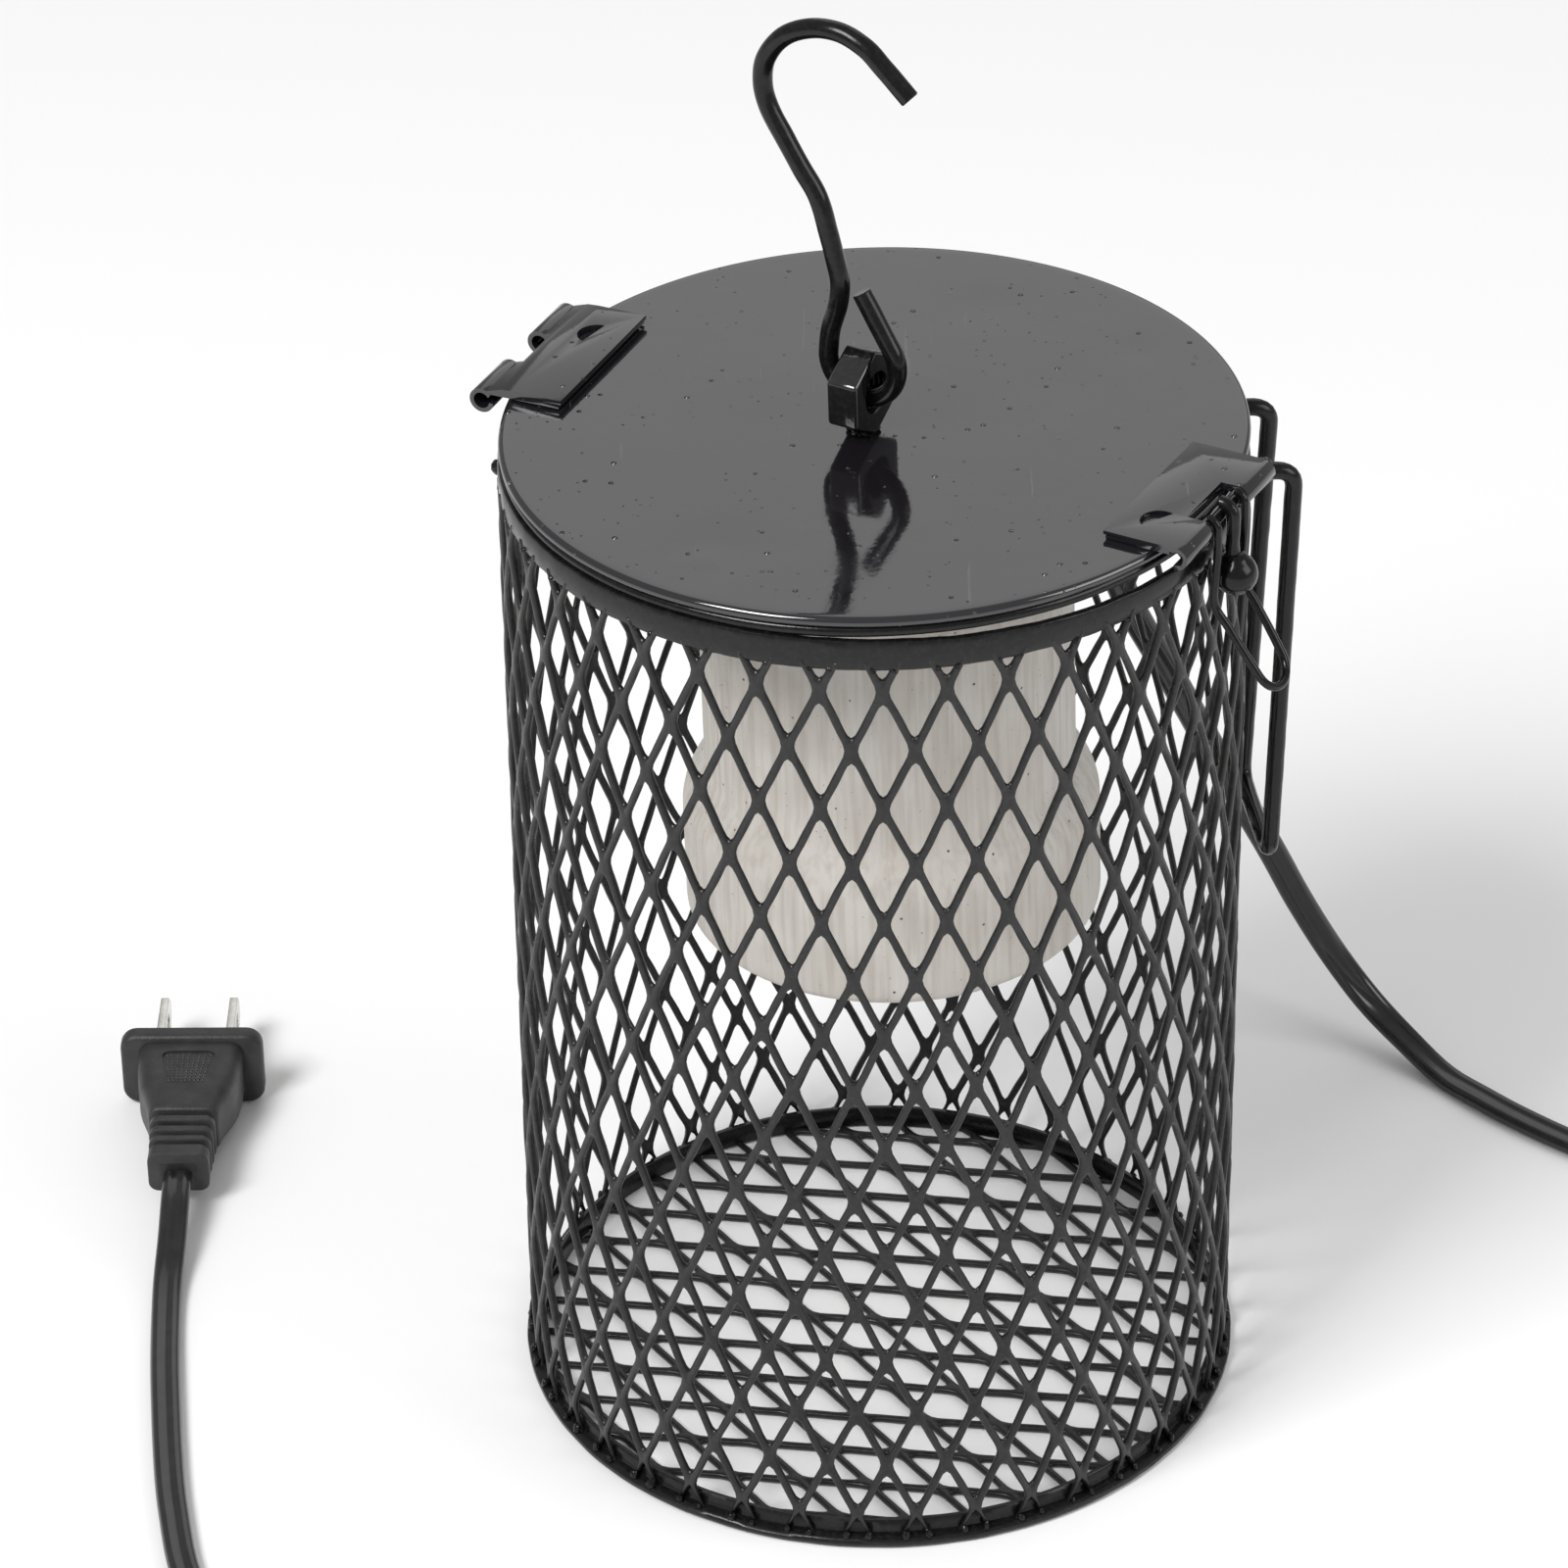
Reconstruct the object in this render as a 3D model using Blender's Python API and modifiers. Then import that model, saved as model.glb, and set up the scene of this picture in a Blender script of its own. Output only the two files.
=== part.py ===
"""Caged heat lamp fixture: mesh cage, lift-off lid with a porcelain lamp holder, hook, latch and flat mains cord.

Metres, +Z up. The origin is on the cage's axis, in the plane that the cage stands on.
Run with: blender --background --python part.py
"""

from math import asin, cos, degrees, pi, radians, sin, sqrt

import bmesh
import bpy
from mathutils import Matrix, Vector

MM = 0.001

# ---- driving dimensions, in metres ----
GAP = 0.3 * MM                     # between neighbouring solids

# cage
WALL_R = 60.2 * MM                 # outside of the expanded metal wall
WALL_T = 1.2 * MM
STRAND_W = 1.7 * MM
WALL_COLUMNS = 16                  # coarse cells round the wall
WALL_ROWS = 6                      # half cells up the wall
WALL_PHASE = radians(15.25)        # turns one of the top cells to the cord's place
RING_OUT = 60.9 * MM               # bottom ring
RING_IN = 57.4 * MM
RING_H = 4.4 * MM
BAND_IN = 58.6 * MM                # top band
BAND_BOTTOM = 172.5 * MM
BAND_TOP = 176.3 * MM
FLOOR_CELL = (20.0 * MM, 44.0 * MM)  # short and long diagonal of the bottom mesh cells
FLOOR_NET_AZ = radians(-31)

# lid, drawn level and then tilted about the hook axis at the back left
LID_R = 60.2 * MM
LID_T = 0.8 * MM
LID_TOP = 180.4 * MM
LID_TILT = radians(1.2)
BEAD_R = 1.3 * MM
HOOK_AZ = radians(155)             # hooked bracket
LATCH_AZ = radians(-29.2)          # latch bracket
KNUCKLE_N = 62.4 * MM              # hook axis, from the cage's axis
KNUCKLE_Z = LID_TOP + 0.2 * MM
ROLL_OUT, ROLL_DROP = 0.4 * MM, 1.3 * MM  # middle of the hooked bracket's rolls, from that axis
SHEET = 0.8 * MM
LEAF_L = 31 * MM
LEAF_IN = 48.3 * MM
LATCH_IN = 49.3 * MM
LATCH_OUT = 63.8 * MM
FOLD_R = 1.9 * MM                  # outside radius of the latch bracket's fold
NOTCH_HOOK = 10 * MM
NOTCH_LATCH = 12 * MM

# latch pin, ball arm and wire clip
PIN_N = LATCH_OUT - FOLD_R
PIN_Z = LID_TOP - 0.5 * MM
PIN_R = 0.9 * MM
ARM_R = 1.1 * MM
BALL_R = 3.5 * MM
BALL_DROP = 10.0 * MM
BALL_N = 64.6 * MM
CLIP_R = 0.7 * MM
CLIP_HALF = 4.7 * MM
CLIP_ELBOW = (1.3 * MM, 13.5 * MM)  # out and down from the pin to where the loop bends outward
CLIP_LENGTH = 17.5 * MM            # below that bend
CLIP_TIP = 4.0 * MM                # radius of its rounded lower end
CLIP_LEAN = radians(33)
PIN_PLAY = 0.25 * MM

# side hanger
HANGER_AZ = radians(8)
HANGER_R = 1.45 * MM
HANGER_N = 66 * MM
HANGER_LEAN = 1.8 * MM             # how much nearer the wall its lower end is

# hanging hook and the nut that holds it
NUT_X, NUT_Y = -1.7 * MM, -2.4 * MM
NUT_FLATS = 13 * MM
NUT_T = 5.4 * MM
NUT_HOLE = 3.3 * MM
NUT_Z = LID_TOP + 7.8 * MM
EYE_AZ = radians(-30)
EYE_DROP = 1.3 * MM                # hook wire below the middle of the nut's hole
EYE_R = 6.3 * MM
HOOK_LEAN = radians(1)
S_WIRE = 1.6 * MM

# porcelain lamp holder, hung under the lid
HOLDER_X = 1.2 * MM
HOLDER_TOP = LID_TOP - 12 * MM
HOLDER_R = 30.6 * MM
SKIRT_R = 34.5 * MM
SHOULDER_Z = LID_TOP - 61.5 * MM
SKIRT_TOP = LID_TOP - 69 * MM
SKIRT_BOTTOM = LID_TOP - 89.8 * MM
MOUTH_R = 30.8 * MM
LEDGE_Z = SKIRT_BOTTOM + 11 * MM
BORE_R = 15.6 * MM
BORE_TOP = HOLDER_TOP - 19 * MM
WELL_R = 21 * MM
WELL_FLOOR = HOLDER_TOP - 10 * MM
SCREW_X = 11 * MM
SCREW_R = 1.9 * MM
TERMINAL_Y = 7 * MM
SHELL_R = 14.6 * MM
SHELL_BOTTOM = LEDGE_Z + 6 * MM
SHELL_H = 25 * MM

# flat mains cord
CORD_R = 2.6 * MM                  # half the flat cord's width
CORD_FLOOR = 2.9 * MM
LEAD_R = 1.8 * MM                  # its stretch inside the cage
COIL_AT = (166 * MM, -23 * MM)
COIL_MEAN = 30 * MM                # radius at the middle of its turns
COIL_HALF = 7.8 * MM
COIL_LOW, COIL_HIGH = 1.3 * MM, 7.3 * MM
TIE_R = 0.4 * MM
PLUG_AT = (-125 * MM, 70 * MM)     # middle of the plug's blade face
PLUG_Z = 7.6 * MM
BLADE_GAP = 12.7 * MM
BLADE_H, BLADE_T, BLADE_REACH = 6.3 * MM, 1.5 * MM, 17 * MM
PLUG_BODY = 22 * MM                # from the blade face to the strain relief
PLUG_LENGTH = 35 * MM
RIBS = 4


# ---- scene and materials ----
def clear_scene():
    for item in list(bpy.data.objects):
        bpy.data.objects.remove(item, do_unlink=True)


def new_collection(name):
    made = bpy.data.collections.new(name)
    bpy.context.scene.collection.children.link(made)
    return made


def new_material(name, colour, roughness, metallic=0.0):
    made = bpy.data.materials.new(name)
    made.use_nodes = True
    made.diffuse_color = (*colour, 1.0)
    shader = made.node_tree.nodes["Principled BSDF"]
    shader.inputs["Base Color"].default_value = (*colour, 1.0)
    shader.inputs["Roughness"].default_value = roughness
    shader.inputs["Metallic"].default_value = metallic
    return made


clear_scene()
PARTS = new_collection("heat_lamp_fixture")
CUTTERS = new_collection("cutters")
ENAMEL = new_material("black_enamel", (0.012, 0.012, 0.013), 0.28)
WIRE_ENAMEL = new_material("wire_enamel", (0.016, 0.016, 0.017), 0.35)
PORCELAIN = new_material("porcelain", (0.66, 0.62, 0.57), 0.45)
BRASS = new_material("brass", (0.72, 0.53, 0.25), 0.3, 1.0)
STEEL = new_material("zinc_steel", (0.55, 0.56, 0.57), 0.35, 1.0)
NICKEL = new_material("nickel", (0.66, 0.64, 0.6), 0.25, 1.0)
PVC = new_material("cord_pvc", (0.014, 0.014, 0.015), 0.25)
PLUG_PVC = new_material("plug_pvc", (0.018, 0.018, 0.019), 0.5)
TIE_VINYL = new_material("tie_vinyl", (0.02, 0.02, 0.02), 0.6)


# ---- helpers ----
def smooth(mesh, angle=40):
    mesh.shade_smooth()
    mesh.set_sharp_from_angle(angle=radians(angle))


def link(item, material, parent=None, cutter=False):
    """Puts an object in its collection, and hangs it on a joint's empty without moving it."""
    for owner in list(item.users_collection):
        owner.objects.unlink(item)
    (CUTTERS if cutter else PARTS).objects.link(item)
    if cutter:
        item.hide_render = True
        item.display_type = "WIRE"
    else:
        item.data.materials.clear()
        item.data.materials.append(material)
    if parent:
        item.parent = parent
        item.matrix_parent_inverse = Matrix.Translation(-parent.location)
    return item


def mesh_object(name, bm, material, parent=None, cutter=False):
    mesh = bpy.data.meshes.new(name)
    bm.to_mesh(mesh)
    bm.free()
    smooth(mesh)
    return link(bpy.data.objects.new(name, mesh), material, parent, cutter)


def cylinder(name, radius, depth, place, material=None, parent=None, sides=32, cutter=False, turn=(0, 0, 0)):
    bpy.ops.mesh.primitive_cylinder_add(
        vertices=sides, radius=radius, depth=depth, location=place, rotation=turn)
    made = bpy.context.object
    made.name = name
    smooth(made.data)
    return link(made, material, parent, cutter)


def box(name, size, place, material=None, parent=None, cutter=False, turn_z=0.0):
    bm = bmesh.new()
    bmesh.ops.create_cube(bm, size=1)
    bmesh.ops.scale(bm, vec=size, verts=bm.verts)
    made = mesh_object(name, bm, material, parent, cutter)
    made.location = place
    made.rotation_euler = (0, 0, turn_z)
    return made


def turned(name, profile, material, parent=None, at=(0, 0), sides=48, cutter=False):
    """A closed profile of (radius, height) points, running down its outer side, turned about Z."""
    bm = bmesh.new()
    points = [bm.verts.new((r, 0, z)) for r, z in profile]
    for first, second in zip(points, points[1:] + points[:1]):
        bm.edges.new((first, second))
    made = mesh_object(name, bm, material, parent, cutter)
    made.location = (*at, 0)
    turn = made.modifiers.new("turn", "SCREW")
    turn.steps = turn.render_steps = sides
    turn.use_merge_vertices = True
    turn.merge_threshold = 0.00001
    turn.use_smooth_shade = True
    return made


def ring(name, inner, outer, low, high, material, parent=None, at=(0, 0), sides=64):
    return turned(name, [(outer, high), (outer, low), (inner, low), (inner, high)], material, parent, at, sides)


def cut(item, cutter, operation="DIFFERENCE"):
    change = item.modifiers.new(operation.lower(), "BOOLEAN")
    change.operation = operation
    change.object = cutter


def arc(centre, radius, start, end, steps):
    """Points of a circular arc, with its angles in degrees."""
    turn = [radians(start + (end - start) * i / steps) for i in range(steps + 1)]
    return [(centre[0] + radius * cos(a), centre[1] + radius * sin(a)) for a in turn]


def catmull(points, spacing):
    """Points at about the given spacing on a smooth curve through the given ones."""
    knots = [Vector(p) for p in points]
    knots = [2 * knots[0] - knots[1]] + knots + [2 * knots[-1] - knots[-2]]
    dense = []
    for a, b, c, d in zip(knots, knots[1:], knots[2:], knots[3:]):
        for i in range(16):
            t = i / 16
            dense.append(0.5 * (2 * b + (c - a) * t + (2 * a - 5 * b + 4 * c - d) * t ** 2
                                + (3 * b - a - 3 * c + d) * t ** 3))
    dense.append(knots[-2])
    length = sum((q - p).length for p, q in zip(dense, dense[1:]))
    count = max(2, round(length / spacing))
    out, walked, index = [dense[0]], 0.0, 0
    for step in range(1, count):
        goal = length * step / count
        while walked + (dense[index + 1] - dense[index]).length < goal:
            walked += (dense[index + 1] - dense[index]).length
            index += 1
        part = (goal - walked) / (dense[index + 1] - dense[index]).length
        out.append(dense[index].lerp(dense[index + 1], part))
    return out + [dense[-1]]


def wire(name, points, radius, material, parent=None, cyclic=False, turn=(0, 0, 0), at=(0, 0, 0)):
    """A round wire through the given points."""
    curve = bpy.data.curves.new(name, "CURVE")
    curve.dimensions = "3D"
    curve.bevel_depth = radius
    curve.bevel_resolution = 2
    curve.use_fill_caps = True
    line = curve.splines.new("POLY")
    line.points.add(len(points) - 1)
    for slot, place in zip(line.points, points):
        slot.co = (*place, 1)
        slot.radius = 1
    line.use_cyclic_u = cyclic
    line.use_smooth = True
    made = bpy.data.objects.new(name, curve)
    made.location = at
    made.rotation_euler = turn
    return link(made, material, parent)


def plate(name, outlines, thickness, material, parent=None, turn=(0, 0, 0), at=(0, 0, 0)):
    """A flat outline, with any holes after it, extruded to a mesh. It lies in its own XY plane."""
    curve = bpy.data.curves.new(name, "CURVE")
    curve.dimensions = "2D"
    curve.fill_mode = "BOTH"
    curve.extrude = thickness / 2
    for outline in outlines:
        line = curve.splines.new("POLY")
        line.points.add(len(outline) - 1)
        for slot, (x, y) in zip(line.points, outline):
            slot.co = (x, y, 0, 1)
        line.use_cyclic_u = True
    guide = bpy.data.objects.new(name + "_outline", curve)
    PARTS.objects.link(guide)
    bpy.context.view_layer.update()
    mesh = bpy.data.meshes.new_from_object(guide.evaluated_get(bpy.context.evaluated_depsgraph_get()))
    bpy.data.objects.remove(guide, do_unlink=True)
    bm = bmesh.new()
    bm.from_mesh(mesh)
    bmesh.ops.remove_doubles(bm, verts=bm.verts, dist=0.000005)
    made = mesh_object(name, bm, material, parent)
    made.location = at
    made.rotation_euler = turn
    return made


def polar(azimuth, radial, along=0.0, height=0.0):
    """A point from its distance out, its distance along the tangent, and its height."""
    outward = Vector((cos(azimuth), sin(azimuth), 0))
    tangent = Vector((-sin(azimuth), cos(azimuth), 0))
    return outward * radial + tangent * along + Vector((0, 0, height))


def empty(name, place, parent=None):
    made = bpy.data.objects.new(name, None)
    made.empty_display_size = 0.01
    PARTS.objects.link(made)
    made.location = place
    if parent:
        made.parent = parent
        made.matrix_parent_inverse = Matrix.Translation(-parent.location)
    return made


def net(name, rows, material, faces, thickness):
    """Flat strands along the edges of the given faces: each face is inset and its middle removed."""
    bm = bmesh.new()
    verts = [bm.verts.new(place) for place in rows]
    made = [bm.faces.new([verts[i] for i in face]) for face in faces]
    bm.normal_update()
    bmesh.ops.inset_individual(bm, faces=made, thickness=STRAND_W / 2, use_even_offset=True)
    bmesh.ops.delete(bm, geom=made, context="FACES_ONLY")
    item = mesh_object(name, bm, material)
    solid = item.modifiers.new("thickness", "SOLIDIFY")
    solid.thickness = thickness
    solid.offset = -1
    return item


# ---- cage ----
def wall_mesh():
    low = RING_H + GAP + STRAND_W / 2
    high = BAND_BOTTOM - GAP - STRAND_W / 2
    places = []
    for row in range(WALL_ROWS + 1):
        height = low + (high - low) * row / WALL_ROWS
        for column in range(WALL_COLUMNS):
            angle = WALL_PHASE + 2 * pi * (column + 0.5 * (row % 2)) / WALL_COLUMNS
            places.append((cos(angle) * WALL_R, sin(angle) * WALL_R, height))

    def spot(row, column):
        return row * WALL_COLUMNS + column % WALL_COLUMNS

    cells = []
    for row in range(WALL_ROWS + 1):
        for column in range(WALL_COLUMNS):
            tip = column + row % 2
            below = [spot(row - 1, tip)] if row > 0 else []
            above = [spot(row + 1, tip)] if row < WALL_ROWS else []
            cells.append(below + [spot(row, column + 1)] + above + [spot(row, column)])
    net("wall_mesh", places, WIRE_ENAMEL, cells, WALL_T)


def bottom_mesh():
    """Diamond net trimmed to a disc, with a rim that joins the cut strands. Its underside is at z = 0."""
    short, long = FLOOR_CELL
    reach = RING_IN - GAP
    across = int(reach / short) + 2
    along = int(reach / long) + 2
    places, index = [], {}

    def spot(i, j):
        """Corner i half cells along the long way and j half cells along the short way."""
        if (i, j) not in index:
            index[i, j] = len(places)
            places.append((i * long / 2, j * short / 2, WALL_T))
        return index[i, j]

    cells = []
    for i in range(-2 * along, 2 * along + 1):
        for j in range(-2 * across, 2 * across + 1):
            if (i + j) % 2:
                cells.append([spot(i - 1, j), spot(i, j - 1), spot(i + 1, j), spot(i, j + 1)])
    item = net("bottom_mesh", places, WIRE_ENAMEL, cells, WALL_T)
    item.rotation_euler = (0, 0, FLOOR_NET_AZ)
    disc = cylinder("bottom_mesh_trim", reach, 20 * MM, (0, 0, 0), sides=64, cutter=True)
    cut(item, disc, "INTERSECT")
    rim_in = reach - STRAND_W
    outline = [(reach, WALL_T), (reach, 0), (rim_in, 0), (rim_in, WALL_T)]
    rim = turned("bottom_mesh_rim", outline, None, sides=64, cutter=True)
    cut(item, rim, "UNION")


def side_hanger():
    """U of wire on the right, its ends bent in and welded to the band."""
    back_top, back_low = 6 * MM, 12 * MM
    front_top, front_low = -13.5 * MM, -12 * MM
    top, low = 175.2 * MM, 100.5 * MM
    weld_n = WALL_R + GAP + 0.6 * MM
    low_n = HANGER_N - HANGER_LEAN
    knots = [
        polar(HANGER_AZ, weld_n + 0.4 * MM, back_top, top),
        polar(HANGER_AZ, weld_n + 2.0 * MM, back_top, top),
        polar(HANGER_AZ, HANGER_N - 0.9 * MM, back_top, top - 0.8 * MM),
        polar(HANGER_AZ, HANGER_N, back_top + 0.1 * MM, top - 3.4 * MM),
        polar(HANGER_AZ, HANGER_N - HANGER_LEAN / 2, back_low - 3.0 * MM, top - 40 * MM),
        polar(HANGER_AZ, low_n, back_low - 0.4 * MM, low + 4 * MM),
        polar(HANGER_AZ, low_n, back_low - 1.4 * MM, low + 1.0 * MM),
        polar(HANGER_AZ, low_n, back_low - 4 * MM, low),
        polar(HANGER_AZ, low_n, front_low + 4 * MM, low),
        polar(HANGER_AZ, low_n, front_low + 1.2 * MM, low + 0.9 * MM),
        polar(HANGER_AZ, low_n, front_low, low + 4 * MM),
        polar(HANGER_AZ, HANGER_N - HANGER_LEAN / 2, front_low - 0.6 * MM, top - 40 * MM),
        polar(HANGER_AZ, HANGER_N, front_top, top - 3.4 * MM),
        polar(HANGER_AZ, HANGER_N - 0.9 * MM, front_top, top - 0.8 * MM),
        polar(HANGER_AZ, weld_n + 2.6 * MM, front_top, top),
        polar(HANGER_AZ, weld_n + 1.4 * MM, front_top, top),
    ]
    wire("side_hanger", catmull(knots, 3.0 * MM), HANGER_R, WIRE_ENAMEL)


def cage():
    wall_mesh()
    bottom_mesh()
    ring("bottom_ring", RING_IN, RING_OUT, 0, RING_H, ENAMEL)
    ring("top_band", BAND_IN, WALL_R, BAND_BOTTOM, BAND_TOP, ENAMEL)
    side_hanger()


# ---- lid ----
def bracket(name, azimuth, profile, notch, notch_in, parent):
    """Sheet bracket: an (out, height) profile extruded along the tangent and notched at its outer edge."""
    item = plate(name, [profile], LEAF_L, ENAMEL, parent, turn=(pi / 2, 0, azimuth))
    tool = box(name + "_notch", (12 * MM, notch, 12 * MM),
               polar(azimuth, notch_in + 6 * MM, 0, KNUCKLE_Z), parent=parent, cutter=True, turn_z=azimuth)
    cut(item, tool)


def hook_bracket(parent):
    """Double leaf whose outer edge is rolled into an open, downward facing hook."""
    outer, inner = 2.15 * MM, 1.4 * MM
    leaf_top, leaf_low = 1.7 * MM, 0.1 * MM
    mouth = 32                       # degrees from level to each lip of the roll
    top = 118                        # where the leaf bends into the roll
    under = 180 - degrees(asin((leaf_low + ROLL_DROP) / outer))
    centre = (KNUCKLE_N + ROLL_OUT, KNUCKLE_Z - ROLL_DROP)
    profile = [(LEAF_IN, KNUCKLE_Z + leaf_low), (LEAF_IN, KNUCKLE_Z + leaf_top),
               (LID_R - 3 * MM, KNUCKLE_Z + leaf_top)]
    profile += arc(centre, outer, top, -mouth, 12)
    profile += arc(centre, inner, -mouth, 180 + mouth, 16)
    profile += arc(centre, outer, 180 + mouth, under, 5)
    bracket("hook_bracket", HOOK_AZ, profile, NOTCH_HOOK, LID_R + 0.2 * MM, parent)


def latch_bracket(parent):
    """Double leaf whose outer edge is folded down and in, with the latch pin inside the fold."""
    leaf_top, leaf_low = 1.2 * MM, 0.1 * MM
    lip_z = KNUCKLE_Z - 2.6 * MM
    lip_n = PIN_N - 0.4 * MM
    under = leaf_top - SHEET
    top_z, low_z = KNUCKLE_Z + leaf_top - FOLD_R, lip_z + FOLD_R
    profile = [(LATCH_IN, KNUCKLE_Z + leaf_low), (LATCH_IN, KNUCKLE_Z + leaf_top)]
    profile += arc((PIN_N, top_z), FOLD_R, 90, 4, 5)
    profile += arc((PIN_N, low_z), FOLD_R, -4, -90, 5)
    profile += [(lip_n, lip_z), (lip_n, lip_z + SHEET)]
    profile += arc((PIN_N, low_z), FOLD_R - SHEET, -90, -4, 4)
    profile += arc((PIN_N, top_z), FOLD_R - SHEET, 4, 90, 4)
    profile += [(LID_R + 0.6 * MM, KNUCKLE_Z + under), (LID_R + 0.6 * MM, KNUCKLE_Z + leaf_low)]
    bracket("latch_bracket", LATCH_AZ, profile, NOTCH_LATCH, 59.0 * MM, parent)


def hanger_nut(parent):
    """Hexagon nut stood on one corner, with its hole level, on a small weld foot."""
    corner_r = NUT_FLATS / sqrt(3)
    nut = cylinder("hanger_nut", corner_r, NUT_T, (NUT_X, NUT_Y, NUT_Z), ENAMEL, parent,
                   sides=6, turn=(pi / 2, pi / 2, EYE_AZ + pi / 2))
    edge = nut.modifiers.new("edges", "BEVEL")
    edge.width = 0.5 * MM
    edge.segments = 1
    hole = cylinder("hanger_nut_hole", NUT_HOLE, 20 * MM, (NUT_X, NUT_Y, NUT_Z), parent=parent,
                    sides=24, cutter=True, turn=(pi / 2, 0, EYE_AZ + pi / 2))
    foot = cylinder("hanger_nut_weld", 2.6 * MM, 2.6 * MM, (NUT_X, NUT_Y, LID_TOP + GAP + 1.3 * MM),
                    parent=parent, sides=16, cutter=True)
    cut(nut, foot, "UNION")
    cut(nut, hole)


def socket_strap(parent):
    """Hat-shaped strap welded under the lid, which carries the porcelain on two screws."""
    sheet = 1.5 * MM
    under = LID_TOP - LID_T - GAP
    seat = HOLDER_TOP + GAP
    foot_out, leg_out, width = 36 * MM, 28 * MM, 16 * MM
    outline = [
        (-foot_out, under), (-foot_out, under - sheet), (-leg_out, under - sheet), (-leg_out, seat),
        (leg_out, seat), (leg_out, under - sheet), (foot_out, under - sheet), (foot_out, under),
        (leg_out - sheet, under), (leg_out - sheet, seat + sheet),
        (sheet - leg_out, seat + sheet), (sheet - leg_out, under),
    ]
    strap = plate("socket_strap", [outline], width, STEEL, parent, turn=(pi / 2, 0, 0), at=(HOLDER_X, 0, 0))
    for side in (-1, 1):
        hole = cylinder(f"strap_hole_{side}", SCREW_R + GAP, 10 * MM, (HOLDER_X + side * SCREW_X, 0, seat),
                        parent=parent, sides=16, cutter=True)
        cut(strap, hole)


def socket_screw(name, side, parent):
    """Screw up through the porcelain and the strap, with its head inside the bore."""
    place = (HOLDER_X + side * SCREW_X, 0)
    head_top = BORE_TOP - GAP
    tip = HOLDER_TOP + 5.5 * MM
    head_h = 2.6 * MM
    profile = [(0, tip), (SCREW_R, tip), (SCREW_R, head_top), (3.4 * MM, head_top),
               (3.4 * MM, head_top - 1.2 * MM), (2.4 * MM, head_top - head_h), (0, head_top - head_h)]
    turned(name, profile, STEEL, parent, place, sides=16)


def socket_nut(name, side, parent):
    """Nut on the screw, on top of the strap."""
    low = HOLDER_TOP + 2 * GAP + 1.5 * MM
    nut = cylinder(name, 3.9 * MM, 2.6 * MM, (HOLDER_X + side * SCREW_X, 0, low + 1.3 * MM), STEEL, parent,
                   sides=6)
    hole = cylinder(name + "_hole", SCREW_R + 0.1 * MM, 10 * MM, (HOLDER_X + side * SCREW_X, 0, low),
                    parent=parent, sides=16, cutter=True)
    cut(nut, hole)


def porcelain_holder(parent):
    """Turned porcelain body: a narrow upper part, a wider skirt, the lamp bore and a wiring well on top."""
    edge = 1.5 * MM
    profile = [(WELL_R, HOLDER_TOP), (HOLDER_R - edge, HOLDER_TOP), (HOLDER_R, HOLDER_TOP - edge),
               (HOLDER_R, SHOULDER_Z), (HOLDER_R + 1.4 * MM, SHOULDER_Z - 2.4 * MM),
               (SKIRT_R - 0.5 * MM, SKIRT_TOP + 1.4 * MM), (SKIRT_R, SKIRT_TOP - 1 * MM),
               (SKIRT_R, SKIRT_BOTTOM + 2 * MM), (SKIRT_R - 1.6 * MM, SKIRT_BOTTOM),
               (MOUTH_R, SKIRT_BOTTOM), (MOUTH_R - 1 * MM, LEDGE_Z), (BORE_R, LEDGE_Z), (BORE_R, BORE_TOP),
               (0, BORE_TOP), (0, WELL_FLOOR), (WELL_R, WELL_FLOOR)]
    body = turned("porcelain_holder", profile, PORCELAIN, parent, (HOLDER_X, 0), sides=40)
    middle = (BORE_TOP + WELL_FLOOR) / 2
    holes = [(side * SCREW_X, 0, SCREW_R + GAP) for side in (-1, 1)]
    holes += [(0, side * TERMINAL_Y, 1.8 * MM) for side in (-1, 1)]
    for number, (x, y, radius) in enumerate(holes):
        hole = cylinder(f"porcelain_hole_{number}", radius, 20 * MM, (HOLDER_X + x, y, middle),
                        parent=parent, sides=16, cutter=True)
        cut(body, hole)


def screw_shell(parent):
    """Thin rolled lamp thread, with its ridges as rings."""
    ridges = 4
    depth, sheet = 0.7 * MM, 0.5 * MM
    wave = []
    for i in range(2 * ridges + 1):
        wave.append((SHELL_R - (depth if i % 2 else 0), SHELL_BOTTOM + SHELL_H * (1 - i / (2 * ridges))))
    profile = wave + [(radius - sheet, height) for radius, height in reversed(wave)]
    turned("screw_shell", profile, BRASS, parent, (HOLDER_X, 0), sides=32)


def centre_contact(parent):
    """Springy brass tongue under the bore's ceiling, on its terminal post."""
    sheet = 0.6 * MM
    top = BORE_TOP - GAP
    low = top - 8 * MM
    outline = [(-5 * MM, top), (-5 * MM, top - sheet), (3 * MM, top - sheet), (5 * MM, top - 5 * MM),
               (-3 * MM, low), (-3 * MM, low - sheet), (5.9 * MM, top - 5.3 * MM), (3.6 * MM, top)]
    plate("centre_contact", [outline], 6 * MM, BRASS, parent, turn=(pi / 2, 0, pi / 2), at=(HOLDER_X, 0, 0))


def terminal(name, side, parent):
    """Post through the porcelain with its clamp screw head, in the wiring well."""
    low = BORE_TOP + 1 * MM
    head = WELL_FLOOR + GAP
    head_top = head + 3 * MM
    profile = [(0, head_top), (3 * MM, head_top), (3 * MM, head), (1.4 * MM, head), (1.4 * MM, low), (0, low)]
    turned(name, profile, BRASS, parent, (HOLDER_X, side * TERMINAL_Y), sides=16)


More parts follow.
